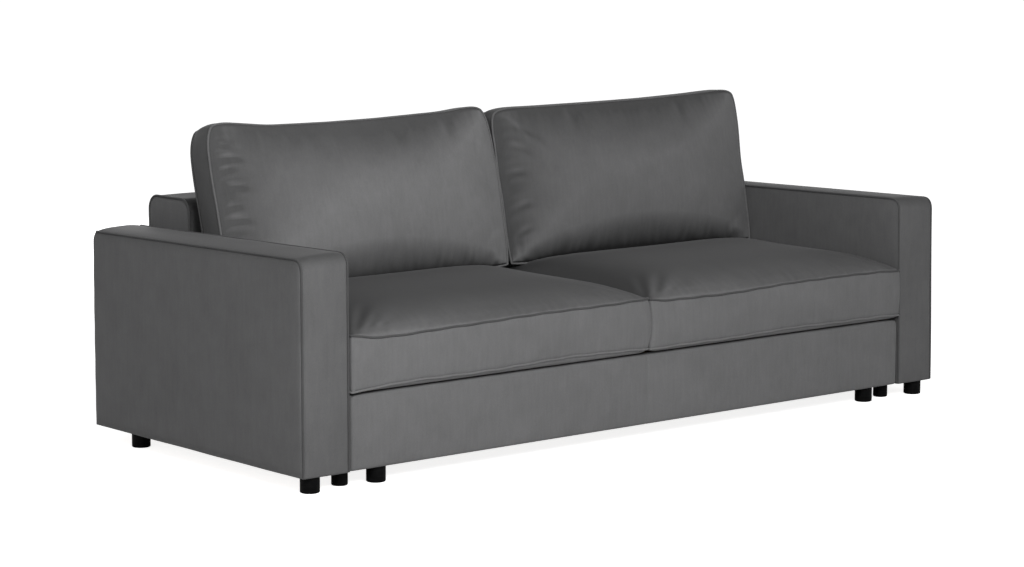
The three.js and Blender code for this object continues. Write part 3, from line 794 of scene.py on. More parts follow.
def subdivided(piece, levels=1):
    """Rounds the mesh off with a subdivision surface, and keeps the result."""
    modifier = piece.modifiers.new("rounding", "SUBSURF")
    modifier.levels = levels
    modifier.render_levels = levels
    seen = piece.evaluated_get(bpy.context.evaluated_depsgraph_get())
    piece.data = bpy.data.meshes.new_from_object(seen)
    piece.data.name = piece.name
    piece.modifiers.clear()
    smooth_shaded(piece)
    return piece


def ripple(points, length, seed):
    """Soft unevenness from -1 to 1, whose waves are about so long."""
    draw = np.random.default_rng(seed)
    total = np.zeros(len(points))
    waves = 7
    for _ in range(waves):
        direction = draw.normal(size=3)
        direction /= np.linalg.norm(direction)
        pace = 2 * math.pi / (length * draw.uniform(0.6, 1.7))
        total += np.sin(points @ direction * pace + draw.uniform(0, 2 * math.pi))
    return total / math.sqrt(waves / 2) / 2


def softened(table, share):
    """A table of (share, value) pairs as a smooth curve."""
    places, values = zip(*table)
    fine = np.linspace(-1, 1, 81)
    rough = np.interp(fine, places, values)
    window = 7
    soft = np.convolve(np.pad(rough, window // 2, mode="edge"), np.ones(window) / window, mode="valid")
    return np.interp(share, fine, soft)


def tube(name, path, radius, reference, closed=False):
    """A round welt along a path. The reference is a direction that the path never takes."""
    path = np.asarray(path, float)
    if closed:
        ahead, behind = np.roll(path, -1, axis=0), np.roll(path, 1, axis=0)
    else:
        ahead, behind = np.vstack([path[1:], path[-1:]]), np.vstack([path[:1], path[:-1]])
    along = ahead - behind
    along /= np.linalg.norm(along, axis=1)[:, None]
    out = np.cross(along, np.asarray(reference, float))
    out /= np.linalg.norm(out, axis=1)[:, None]
    up = np.cross(out, along)
    turns = np.linspace(0, 2 * math.pi, WELT_SIDES, endpoint=False)
    circle = np.cos(turns)[:, None, None] * out + np.sin(turns)[:, None, None] * up
    cover = Cover()
    if closed:
        rings = path + radius * circle
        rings = np.concatenate([rings, rings[:, :1]], axis=1)
    else:
        cap = math.pi / 2 * steps(WELT_CAP_STEPS)[:-1]

        def capped(end, way, ring):
            """The rings of a round end."""
            return [end + way * radius * math.cos(a) + radius * math.sin(a) * ring for a in cap]

        starts = np.stack(capped(path[0], -along[0], circle[:, 0]), axis=1)
        stops = np.stack(capped(path[-1], along[-1], circle[:, -1])[::-1], axis=1)
        rings = np.concatenate([starts, path + radius * circle, stops], axis=1)
    rings = np.concatenate([rings, rings[:1]], axis=0)
    cover.panel(rings)
    piece = cover.sewn(name)
    smooth_shaded(piece)
    return piece


def dress(piece, body, material, slot, *nodes, fill=None):
    """Gives a piece its finish, lets it ride on its body, and hides the nodes that it stands for."""
    piece.data.materials.clear()
    piece.data.materials.append(finished(material))
    smooth_shaded(piece)
    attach(piece, body)
    if nodes:
        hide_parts(*nodes)
    return piece


# Upholstered boxes: the arms and the back block


def side_profile(depth, bottom, top, front_round, rear_round, droop):
    """A grid of (y, z) over a box's side. Its columns run to the rear, and its rows up to the outline."""
    rows = round((top - bottom) / CELL)
    arc = np.linspace(0, math.pi / 2, ROUND_STEPS + 1)
    flat = depth - front_round - rear_round
    front = front_round * (1 - np.cos(arc))
    middle = front_round + flat * steps(round(flat / CELL))
    rear = depth - rear_round * (1 - np.cos(arc[::-1]))
    y = np.concatenate([front, middle[1:-1], rear])
    ceiling = np.full(len(y), top)
    ceiling[: len(arc)] -= front_round * (1 - np.sin(arc))
    ceiling[-len(arc):] -= rear_round * (1 - np.sin(arc[::-1]))
    ceiling -= droop(y) * smooth(y / front_round)
    z = bottom + np.outer(ceiling - bottom, steps(rows))
    return np.stack([np.broadcast_to(y[:, None], z.shape), z], axis=-1)


def outline_of(profile):
    """The seam round a side: up the front, over the top and down the rear."""
    return np.concatenate([profile[0], profile[1:, -1], profile[-1, -2::-1]])


def outward(path):
    """Directions in the side's plane that point out of an outline."""
    along = np.gradient(path, axis=0)
    along /= np.linalg.norm(along, axis=1)[:, None]
    return np.stack([-along[:, 1], along[:, 0]], axis=-1)


def padded_box(name, low, high, seams, profiles, across, crown, puff, cavity, seed):
    """A padded cover that is open below, over a cavity. seams are the x of its two side seams, and profiles
    the grids of its two sides, in order of x. across are the places of the strip between them, 0 to 1."""
    cover = Cover()
    paths = [outline_of(profile) for profile in profiles]
    for x, profile, sign, fullness in zip(seams, profiles, (-1, 1), puff):
        y_share = 2 * profile[..., 0] / (high[1] - low[1]) - 1
        z_share = 2 * (profile[..., 1] - low[2]) / (high[2] - low[2]) - 1
        falls = (np.clip(1 - share**power, 0, 1) for share, power in zip((y_share, z_share), PUFF_POWERS))
        bulge = fullness * np.sqrt(math.prod(falls))
        bulge[[0, -1], :] = 0
        bulge[:, [0, -1]] = 0
        cover.panel(grid(x + sign * bulge, low[1] + profile[..., 0], profile[..., 1]))

    share = across[None, :]
    between = paths[0][:, None, :] * (1 - share[..., None]) + paths[1][:, None, :] * share[..., None]
    normal = outward((paths[0] + paths[1]) / 2)[:, None, :]
    rise = crown(paths[0][:, 0])[:, None] * (1 - np.abs(2 * share - 1) ** STRIP_CROWN_POWER)
    rise = rise * smooth((between[..., 1] - low[2]) / STRIP_CROWN_START)
    between = between + normal * rise[..., None]
    x = seams[0] + (seams[1] - seams[0]) * share
    cover.panel(grid(x, low[1] + between[..., 0], between[..., 1]))

    columns = low[1] + profiles[0][:, 0, 0]
    plan = grid(seams[0] + (seams[1] - seams[0]) * across[None, :], columns[:, None], low[2])
    inner_low, inner_high = cavity
    inner = np.clip(plan, (inner_low[0], inner_low[1], low[2]), (inner_high[0], inner_high[1], low[2]))
    ceiling = inner + np.array((0, 0, inner_high[2] - low[2]))
    cover.band(rim(plan), rim(inner))
    cover.band(rim(inner), rim(ceiling))
    cover.panel(ceiling)
    piece = cover.sewn(name, 1.0)
    points = points_of(piece)
    waves = BOX_RIPPLE_DEPTH * ripple(points, BOX_RIPPLE_LENGTH, seed)
    move_points(piece, points + normals_of(piece) * waves[:, None])
    return subdivided(piece)


def seam_welt(name, cover, x, sign, low_y, profile, radius, count):
    """Makes the welt in a cover's side seam, along the first count points of the outline, and its groove."""
    path = outline_of(profile)[:count]
    path[0, 1] += WELT_END
    path[-1] += WELT_END * (path[-2] - path[-1]) / np.linalg.norm(path[-2] - path[-1])
    out = outward(path)
    stand = WELT_STAND * radius
    groove(cover, dense(grid(x, low_y + path[:, 0], path[:, 1]), closed=False))
    points = grid(x + sign * stand, low_y + path[:, 0] + out[:, 0] * stand, path[:, 1] + out[:, 1] * stand)
    return tube(name, points, radius, (1, 0, 0))


class SOFA_OT_arms(Operator):
    """Pads the arms, with a welt along both edges of the strip that runs up the front and over the top"""

    bl_idname = "sofa.arms"
    bl_label = "Arms"

    def execute(self, context):
        sizes = context.scene.sofa_sizes
        for seed, (side, sign) in enumerate(SIDES.items()):
            self.build(side, sign, sizes, seed)
        return {"FINISHED"}

    def build(self, side, sign, sizes, seed):
        low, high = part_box(f"arm_{side}_cover")
        depth = high[1] - low[1]
        insets = (ARM_SEAM_INSET["outer"], ARM_SEAM_INSET["inner"])[::-sign]
        seams = (low[0] + insets[0], high[0] - insets[1])

        def crown(y):
            return sizes.arm_crown * (ARM_CROWN_FRONT_SHARE + ARM_CROWN_REAR_GAIN_SHARE * y / depth)

        outer, inner = self.profile("outer", low, high), self.profile("inner", low, high)
        profiles = (outer, inner)[::-sign]
        puff = (sizes.side_puff, ARM_INNER_PUFF)[::-sign]
        cavity_low = (low[0] + ARM_PADDING, low[1] + ARM_PADDING, low[2])
        cavity_high = (high[0] - ARM_PADDING, high[1] - ARM_PADDING, high[2] - TOP_PADDING)
        name = f"arm_{side}_upholstery"
        across = steps(ARM_STRIP_CELLS)
        piece = padded_box(
            name, low, high, seams, profiles, across, crown, puff, (cavity_low, cavity_high), seed
        )
        # The arms take a darker copy of the velvet, with painted shade on faces turned up.
        dress(piece, "carcass", "arm_velvet", "velvet", f"arm_{side}_cover", fill=0.9)
        along_top = sum(profiles[0].shape[:2]) - ROUND_STEPS
        for seam, profile, outside in zip(seams, profiles, (-1, 1)):
            place = "outer" if outside == sign else "inner"
            welt = seam_welt(
                f"arm_{side}_{place}_welt", piece, seam, outside, low[1], profile, sizes.welt / 2, along_top
            )
            self.lean(welt, side, sign, low, high)
            # The welts take a darker copy of the velvet: painted shade along the seams.
            dress(welt, "carcass", "piping", "velvet")
        self.lean(piece, side, sign, low, high)

    def lean(self, piece, side, sign, low, high):
        """Leans the arm's top towards the seat."""
        points = points_of(piece)
        height = np.clip((points[:, 2] - low[2]) / (high[2] - low[2]), 0, 1)
        points[:, 0] -= sign * ARM_TOP_LEAN[side] * smooth(height)
        move_points(piece, points)

    def profile(self, place, low, high):
        """One side of the arm: its top droops to the rear, and its rear edge leans forward."""
        depth = high[1] - low[1]
        front, rear = ARM_FRONT_DROOP[place], ARM_REAR_DROOP[place]
        shape = (depth, low[2], high[2] - ARM_TOP_GAP, ARM_NOSE[place], ARM_REAR_ROUND)
        profile = side_profile(*shape, lambda y: front + (rear - front) * y / depth)
        height = (profile[..., 1] - low[2]) / (high[2] - low[2])
        rearward = np.clip(profile[..., 0] / depth, 0, 1) ** 3
        profile[..., 0] += (ARM_REAR_FULLNESS - ARM_REAR_LEAN * height) * rearward
        return profile


class SOFA_OT_back_block(Operator):
    """Pads the low back block, with a welt round both of its ends"""

    bl_idname = "sofa.back_block"
    bl_label = "Back block"

    def execute(self, context):
        sizes = context.scene.sofa_sizes
        low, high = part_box("back_block_cover")
        depth = high[1] - low[1]
        seams = (low[0] + BLOCK_SEAM_INSET, high[0] - BLOCK_SEAM_INSET)
        top = high[2] - BLOCK_TOP_GAP
        profile = side_profile(depth, low[2], top, BLOCK_ROUND, BLOCK_ROUND, lambda y: 0 * y)
        across = steps(round((seams[1] - seams[0]) / BLOCK_CELL))
        cavity_low = (low[0] + BLOCK_PADDING, low[1] + BLOCK_PADDING, low[2])
        cavity_high = (high[0] - BLOCK_PADDING, high[1] - BLOCK_PADDING, high[2] - TOP_PADDING)
        piece = padded_box(
            "back_block_upholstery", low, high, seams, (profile, profile), across,
            lambda y: BLOCK_CROWN + 0 * y, (BLOCK_PUFF, BLOCK_PUFF), (cavity_low, cavity_high), BLOCK_SEED,
        )
        # The back block takes a darker copy of the velvet, with painted shade on faces turned up and to the
        # front.
        dress(piece, "carcass", "block_velvet", "velvet", "back_block_cover", fill=0.9)
        count = len(outline_of(profile))
        for side, seam, outside in zip(SIDES, seams, (-1, 1)):
            welt = seam_welt(
                f"back_block_{side}_welt", piece, seam, outside, low[1], profile, sizes.welt / 2, count
            )
            # The welts take a darker copy of the velvet: painted shade along the seams.
            dress(welt, "carcass", "piping", "velvet")
        return {"FINISHED"}


class SOFA_OT_front_panel(Operator):
    """Pads the front panel, with a pulled seam down its middle where two widths of cloth are joined"""

    bl_idname = "sofa.front_panel"
    bl_label = "Front panel"

    def execute(self, context):
        sizes = context.scene.sofa_sizes
        low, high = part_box("front_panel_cover")
        x, z = self.lines(low, high)
        plan_x, plan_z = np.meshgrid(x, z, indexing="ij")
        half = (high[0] - low[0]) / 2
        height = high[2] - low[2]
        share_x = plan_x / half
        share_z = np.clip(2 * (plan_z - low[2]) / height - 1, 0, 1)
        sideways_power = PANEL_CORNER_POWER * half / height
        pull = PANEL_CORNER_PULL * np.abs(share_x) ** sideways_power * share_z**PANEL_CORNER_POWER
        plan_x = plan_x - np.sign(plan_x) * pull
        plan_z = plan_z - pull
        cover = Cover()
        depth = self.depth(x, z, half, low, high, sizes.face_puff)
        face = grid(plan_x, low[1] + depth, plan_z)
        cover.panel(face)
        rear = grid(plan_x, high[1], plan_z)
        least, most = ((corner[0], high[1], corner[2]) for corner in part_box("front_panel_board"))
        pocket = np.clip(rear, least, most)
        floor = pocket * (1, 0, 1) + (0, low[1] + PANEL_BOARD_FACE, 0)
        cover.band(rim(face), rim(rear))
        cover.band(rim(rear), rim(pocket))
        cover.band(rim(pocket), rim(floor))
        cover.panel(floor)
        piece = subdivided(cover.sewn("front_panel_upholstery", 0.3))
        # The panel takes the velvet with painted shade on faces turned up and to the rear.
        dress(piece, "carriage", "velvet", "velvet", "front_panel_cover", fill=0.9)
        return {"FINISHED"}

    def lines(self, low, high):
        """Where the face's grid lines lie: close together round the edges and beside the middle seam."""
        arc = PANEL_EDGE_ROUND * (1 - np.cos(np.linspace(0, math.pi / 2, 5)))
        beside = PANEL_LINES_BESIDE_SEAM
        half = (high[0] - low[0]) / 2
        flat = np.linspace(beside[-1], half - arc[-1], round(half / CELL))
        right = np.concatenate([beside[:-1], flat, half - arc[-2::-1]])
        x = np.concatenate([-right[::-1], [0], right])
        flat = np.linspace(low[2] + arc[-1], high[2] - arc[-1], round((high[2] - low[2]) / CELL))
        z = np.concatenate([low[2] + arc[:-1], flat, high[2] - arc[-2::-1]])
        return x, z

    def depth(self, x, z, half, low, high, puff):
        """How far the face lies behind the panel's front plane."""
        near_x = np.clip(1 - (half - np.abs(x)) / PANEL_EDGE_ROUND, 0, 1)[:, None]
        near_z = np.clip(1 - np.minimum(z - low[2], high[2] - z) / PANEL_EDGE_ROUND, 0, 1)[None, :]
        near = np.minimum(np.hypot(near_x, near_z), 1)
        round_off = PANEL_EDGE_ROUND * (1 - np.sqrt(1 - near**2))
        share_x = (x / half)[:, None]
        share_z = (2 * (z - low[2]) / (high[2] - low[2]) - 1)[None, :]
        power_x, power_z = PANEL_PUFF_POWERS
        bulge = puff * (1 - share_x**power_x) * (1 - share_z**power_z)
        rise = smooth((z - low[2]) / (high[2] - low[2]) * PANEL_SEAM_RISE)[None, :]
        seam = np.exp(-((x / PANEL_SEAM_WIDTH) ** 2))[:, None] * (1 + rise) * PANEL_SEAM_DEPTH
        strength = PANEL_PUCKER_FOOT_SHARE + (1 - PANEL_PUCKER_FOOT_SHARE) * rise
        pucker = np.exp(-((x / PANEL_PUCKER_WIDTH) ** 2))[:, None] * strength * PANEL_PUCKER_DEPTH
        level = grid(x[:, None], 0 * z[None, :], z[None, :]).reshape(-1, 3)
        waves = ripple(level, PANEL_RIPPLE_LENGTH, PANEL_SEED).reshape(len(x), len(z)) * PANEL_RIPPLE_DEPTH
        drawn = PANEL_WAVE_DEPTH * np.sin(x * 2 * math.pi / PANEL_WAVE_LENGTH)[:, None]
        drawn = drawn * smooth((share_z - PANEL_WAVE_START_SHARE) / (1 - PANEL_WAVE_START_SHARE))
        return round_off - bulge + seam + pucker + (waves + drawn) * (1 - near)


# Cushions


class BoxedCushion:
    """A cushion's cover that lies flat: two faces with their seams, and the border between them. Shares u
    and v run from -1 to 1 across it and to its rear. Its bows, drops, swells, corners and lip are set after
    it is made."""

    def __init__(self, width, depth, seams, crowns, falls, seed):
        self.width = width
        self.depth = depth
        self.low_seam, self.high_seam = seams
        self.low_crown, self.high_crown = crowns
        self.falls = falls
        self.seed = seed
        self.corner = {}
        self.front_corners = 1.0
        self.rear_fade = 0.0
        self.swells = {}
        self.bows = {}
        self.drops = {}
        self.lip = None
        self.u = self.spread(round(width / CELL))
        self.v = self.spread(round(depth / CELL))

    def spread(self, count):
        """Even shares, a little closer together near the seams."""
        even = np.linspace(-1, 1, count + 1)
        return EVEN_SHARE * even + (1 - EVEN_SHARE) * np.sin(even * math.pi / 2)

    def bow(self, edge, share):
        return softened(self.bows.get(edge, ((-1, 0), (1, 0))), share) * MM

    def plan(self, u, v, seam):
        """Where a seam or face point lies in plan, with bowed edges and rounded corners."""
        half_width, half_depth = self.width / 2, self.depth / 2
        corner = self.corner[seam]
        reach = corner / CORNER_REACH_SHARE
        power_u = math.log(CORNER_EDGE_SHARE) / math.log(1 - reach / half_width)
        power_v = math.log(CORNER_EDGE_SHARE) / math.log(1 - reach / half_depth)
        pull = corner * np.where(v < 0, self.front_corners, 1) * np.abs(u) ** power_u * np.abs(v) ** power_v
        sideways = np.where(u < 0, -self.bow("left", v), self.bow("right", v)) * np.abs(u) ** BOW_POWER
        lengthways = np.where(v < 0, -self.bow("front", u), self.bow("rear", u)) * np.abs(v) ** BOW_POWER
        x = u * half_width + sideways - np.sign(u) * pull
        return x, v * half_depth + lengthways - np.sign(v) * pull

    def seam_level(self, seam, u, v):
        """A seam's height. It drops off its level at the front, and the drop fades quickly to the rear."""
        level = self.high_seam if seam == "high" else self.low_seam
        drop = softened(self.drops.get(seam, ((-1, 0), (1, 0))), u) * ((1 - v) / 2) ** DROP_FADE_POWER
        waves = sum(height * np.sin(pace * u + self.seed) for height, pace in WAVES_ACROSS)
        height, pace = WAVES_REARWARD
        waves = waves + height * np.sin(pace * v + 2 * self.seed)
        return level + (drop + waves) * MM

    def rise(self, u, v):
        """The crown's share of its height. A fall has a power, higher for a flatter middle, and a bend."""
        side, front, rear = (
            np.clip(1 - np.abs(share) ** power, 0, 1) ** bend
            for share, (power, bend) in zip((u, v, v), self.falls)
        )
        return side * np.where(v < 0, front, rear)

    def face(self, seam, slack=0.0):
        u, v = self.u[:, None], self.v[None, :]
        x, y = self.plan(u, v, seam)
        level = self.high_seam if seam == "high" else self.low_seam
        crown = self.high_crown if seam == "high" else -self.low_crown
        near = np.maximum(np.abs(u), np.abs(v)) ** SEAM_REACH_POWER
        z = level + (self.seam_level(seam, u, v) - level) * near
        z = z + crown * (1 - slack / max(abs(crown), slack, MM)) * self.rise(u, v)
        if seam == "low" and self.lip is not None:
            z = self.with_lip(u, v, z)
        return grid(x, y, z)

    def with_lip(self, u, v, z):
        """The underside, with the soft lip that hangs behind its front seam."""
        reach = (v + 1) * self.depth / 2
        places, levels = np.array(self.lip).T * MM
        hanging = np.interp(reach, places, levels)
        share = smooth(reach / places[1]) * (reach < places[-1])
        share = share * np.clip(1 - np.abs(u) ** LIP_END_POWER, 0, 1)
        return z * (1 - share) + hanging * share

    def edge_shares(self):
        """Shares u and v all round the seam, from the front left corner."""
        corners = np.meshgrid(self.u, self.v, indexing="ij")
        return rim(np.stack(corners, axis=-1)).T

    def border(self, rows):
        u, v = self.edge_shares()
        up = steps(rows)[:, None]
        low, high = (grid(*self.plan(u, v, seam), self.seam_level(seam, u, v)) for seam in ("low", "high"))
        border = low * (1 - up[..., None]) + high * up[..., None]
        near_x, near_y = (smooth((np.abs(share) - SWELL_START_SHARE) / SWELL_RUN_SHARE) for share in (u, v))
        swell_x = np.where(u < 0, -self.swells["left"], self.swells["right"]) * near_x
        swell_x = swell_x * (1 - self.rear_fade * smooth((v - REAR_FADE_START_SHARE) / REAR_FADE_RUN_SHARE))
        swell_y = np.where(v < 0, -self.swells["front"], self.swells["rear"]) * near_y
        return border + np.sin(up * math.pi)[..., None] * grid(swell_x, swell_y, 0)

    def welt_path(self, seam, stand):
        u, v = self.edge_shares()
        path = grid(*self.plan(u, v, seam), self.seam_level(seam, u, v))[:-1]
        along = np.roll(path, -1, axis=0) - np.roll(path, 1, axis=0)
        out = np.cross((0, 0, 1), along)
        out /= np.linalg.norm(out, axis=1)[:, None]
        out *= np.sign(np.sum(out * path, axis=1))[:, None]
        up = 1 if seam == "high" else -1
        return path + stand * (out + (0, 0, WELT_UP_SHARE * up))

    def sewn(self, name, sizes, pinned_low):
        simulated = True
        slack = SLACK_SHARE * sizes.swell if simulated else 0.0
        cover = Cover()
        cover.panel(self.face("high", slack), pinned="edge")
        cover.panel(self.face("low", 0.0 if pinned_low else slack), pinned="all" if pinned_low else "edge")
        cover.panel(self.border(round((self.high_seam - self.low_seam) / CELL)), pinned="rows")
        piece = cover.sewn(name, 1.0)
        if simulated:
            fill_out(piece, sizes.pressure, sizes.swell)
            self.level_crowns(piece, pinned_low)
        return subdivided(piece)

    def level_crowns(self, piece, pinned_low):
        """Scales each face's crown to its set height."""
        points = points_of(piece)
        top = points[:, 2].max() - self.high_seam
        high = points[:, 2] > self.high_seam + CROWN_FOOT
        points[high, 2] = self.high_seam + (points[high, 2] - self.high_seam) * self.high_crown / top
        if not pinned_low:
            bottom = self.low_seam - points[:, 2].min()
            low = points[:, 2] < self.low_seam - CROWN_FOOT
            points[low, 2] = self.low_seam - (self.low_seam - points[low, 2]) * self.low_crown / bottom
        move_points(piece, points)


def fill_out(piece, pressure, furthest):
    """Blows a sewn cover out between its pinned seams as the filling does, and keeps the result."""
    start = points_of(piece)
    pins = np.zeros(len(start), np.int32)
    piece.data.attributes["pinned"].data.foreach_get("value", pins)
    group = piece.vertex_groups.new(name="pinned")
    group.add(np.flatnonzero(pins).tolist(), 1.0, "REPLACE")
    cloth = piece.modifiers.new("filling", "CLOTH")
    settings = cloth.settings
    for name, value in FILLING_CLOTH.items():
        setattr(settings, name, value)
    settings.vertex_group_mass = "pinned"
    settings.use_pressure = True
    settings.uniform_pressure_force = pressure
    settings.effector_weights.gravity = 0
    cloth.collision_settings.use_collision = False
    scene = bpy.context.scene
    first, last = 1, FILLING_FRAMES
    cloth.point_cache.frame_start = first
    cloth.point_cache.frame_end = last
    for moment in range(first, last + 1):
        scene.frame_set(moment)
    seen = piece.evaluated_get(bpy.context.evaluated_depsgraph_get())
    blown = np.zeros(len(start) * 3)
    seen.data.vertices.foreach_get("co", blown)
    moved = blown.reshape(-1, 3) - start
    length = np.linalg.norm(moved, axis=1)[:, None]
    moved *= furthest * np.tanh(length / furthest) / np.maximum(length, 1e-9)
    piece.modifiers.clear()
    piece.vertex_groups.clear()
    scene.frame_set(first)
    move_points(piece, start + moved)


def gather(piece, across, along, depth, reach, strength, seed):
    """Pulls small folds into a face beside a seam. across is each point's distance from the seam and along
    its place on it, both in metres, and strength is how hard the seam pulls at each point, from 0 to 1."""
    draw = np.random.default_rng(seed)
    slant = along + GATHER_SLANT_SHARE * across * np.sin(along / GATHER_SLANT_LENGTH + seed)
    bunch = GATHER_BUNCH_SHARE * np.sin(along / GATHER_BUNCH_LENGTH)
    folds = np.zeros(len(along))
    for length in GATHER_LENGTHS:
        folds += np.cos(2 * math.pi * slant / length + draw.uniform(0, 2 * math.pi) + bunch)
    folds = np.clip(folds / len(GATHER_LENGTHS), -1, 1)
    sharp = np.sign(folds) * np.abs(folds) ** GATHER_POWER
    run = np.clip(across, 0, None) / reach
    fade = GATHER_FADE * run * np.exp(1 - GATHER_FADE * run)
    fade = fade * (1 - smooth((run - GATHER_END_SHARE) / GATHER_END_SHARE))
    points = points_of(piece)
    shift = depth * strength * fade * sharp
    move_points(piece, points + normals_of(piece) * shift[:, None])


def dent(piece, centre, slant, length, width, depth, keep):
    """Presses a crease into a face. Its centre and slant are in that plane, and keep is 1 on the face."""
    points = points_of(piece)
    direction = np.array((math.cos(slant), math.sin(slant)))
    offset = points[:, :2] - centre
    lengthways = offset @ direction
    sideways = offset @ (-direction[1], direction[0]) + CREASE_BEND_SHARE * lengthways**2 / length
    fall = np.exp(-CREASE_END * (lengthways / length) ** 2)
    beside = (sideways + RIDGE_PLACE_SHARE * width) / (RIDGE_WIDTH_SHARE * width)
    form = RIDGE_HEIGHT_SHARE * np.exp(-(beside**2)) - np.exp(-((sideways / width) ** 2))
    move_points(piece, points + normals_of(piece) * (depth * fall * form * keep)[:, None])


def groove(piece, path):
    """Pulls the cloth in along a seam."""
    seam = KDTree(len(path))
    for index, place in enumerate(path):
        seam.insert(place, index)
    seam.balance()
    points = points_of(piece)
    distance = np.array([seam.find(place)[2] for place in points])
    pull = GROOVE_DEPTH * np.clip(1 - distance / GROOVE_WIDTH, 0, 1)
    move_points(piece, points - normals_of(piece) * pull[:, None])


def dense(path, closed):
    """A path with five times as many points, so close that the nearest one gives the distance from it."""
    path = np.vstack([path, path[:1]]) if closed else path
    shares = np.arange(0, len(path) - 1, 0.2)
    return np.stack([np.interp(shares, np.arange(len(path)), path[:, axis]) for axis in range(3)], axis=1)


def tree_of(piece):
    mesh = piece.data
    return BVHTree.FromPolygons([v.co for v in mesh.vertices], [list(p.vertices) for p in mesh.polygons])


def press(points, supports, gap):
    """Moves points out of the pieces that they rest on, to a gap from them."""
    pressed = points.copy()
    for support in supports:
        tree = tree_of(support)
        corners = points_of(support)
        near = np.all((pressed > corners.min(axis=0) - gap) & (pressed < corners.max(axis=0) + gap), axis=1)
        for index in np.flatnonzero(near):
            place = Vector(pressed[index])
            spot, normal, _, distance = tree.find_nearest(place)
            if (place - spot).dot(normal) < 0 or distance < gap:
                pressed[index] = spot + normal * gap
    return pressed


class SOFA_OT_seat_cushions(Operator):
    """Sews the two seat cushions, whose piped seams wave a little along the front"""

    bl_idname = "sofa.seat_cushions"
    bl_label = "Seat cushions"

    def execute(self, context):
        sizes = context.scene.sofa_sizes
        for seed, side in enumerate(SIDES):
            self.build(side, sizes, seed)
        return {"FINISHED"}

    def build(self, side, sizes, seed):
        node = f"seat_cushion_{side}"
        low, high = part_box(node)
        width, depth, height = (high[axis] - low[axis] for axis in range(3))
        crowns = (SEAT_LOW_SEAM - SEAT_UNDER_GAP, height - SEAT_HIGH_SEAM)
        sewn_width, sewn_depth = width - SEAT_SIDE_PLAY, depth - SEAT_END_PLAY
        seams = (SEAT_LOW_SEAM, SEAT_HIGH_SEAM)
        cushion = BoxedCushion(sewn_width, sewn_depth, seams, crowns, SEAT_FALLS, seed)
        cushion.corner = SEAT_CORNER
        cushion.rear_fade = 1.0
        cushion.bows, cushion.drops, cushion.swells = SEAT_BOWS[side], SEAT_DROPS[side], SEAT_SWELLS[side]
        cushion.lip = SEAT_LIP
        edges = [2 * place * MM / cushion.depth - 1 for place, _ in SEAT_LIP]
        cushion.v = np.concatenate([edges, cushion.v[cushion.v > edges[-1] + LIP_CLEARANCE_SHARE]])
        piece = cushion.sewn(f"{node}_cover", sizes, pinned_low=True)
        for seam in ("low", "high"):
            groove(piece, dense(cushion.welt_path(seam, 0), closed=True))
        points = points_of(piece)
        upper = smooth((points[:, 2] - SEAT_HIGH_SEAM + SEAT_FACE_FOOT) / SEAT_FACE_FADE)
        middle = np.clip(1 - np.abs(2 * points[:, 0] / width) ** SEAT_MIDDLE_POWER, 0, 1)
        gather(
            piece, points[:, 1] + depth / 2, points[:, 0], SEAT_GATHER_DEPTH, SEAT_GATHER_REACH,
            upper * middle, SEAT_GATHER_SEED + seed,
        )
        points = points_of(piece)
        behind = (points[:, 1] - SEAT_REAR_PLACE_SHARE * depth) / SEAT_REAR_REACH
        points[:, 2] += SEAT_REAR_RISE[side] * np.exp(-(behind**2)) * middle * upper
        move_points(piece, points)
        place = np.array(((low[0] + high[0]) / 2, (low[1] + high[1]) / 2, low[2]))
        move_points(piece, points_of(piece) + place)
        # The seat cushions take the velvet with painted shade on faces turned up and to the rear, so their
        # tops are darker towards the back cushions.
        dress(piece, f"{side}_seat", "velvet", "velvet", node, fill=0.8)
        radius = sizes.welt / 2
        # The upper welt takes the darker copy of the velvet, painted shade along the seam, and the lower one
        # a lighter copy, painted light.
        for seam, level, piping in (("high", "upper", "piping"), ("low", "lower", "pale_piping")):
            path = cushion.welt_path(seam, WELT_STAND * radius) + place
            welt = tube(f"{node}_{level}_welt", path, radius, (0, 0, 1), closed=True)
            dress(welt, f"{side}_seat", piping, "velvet")


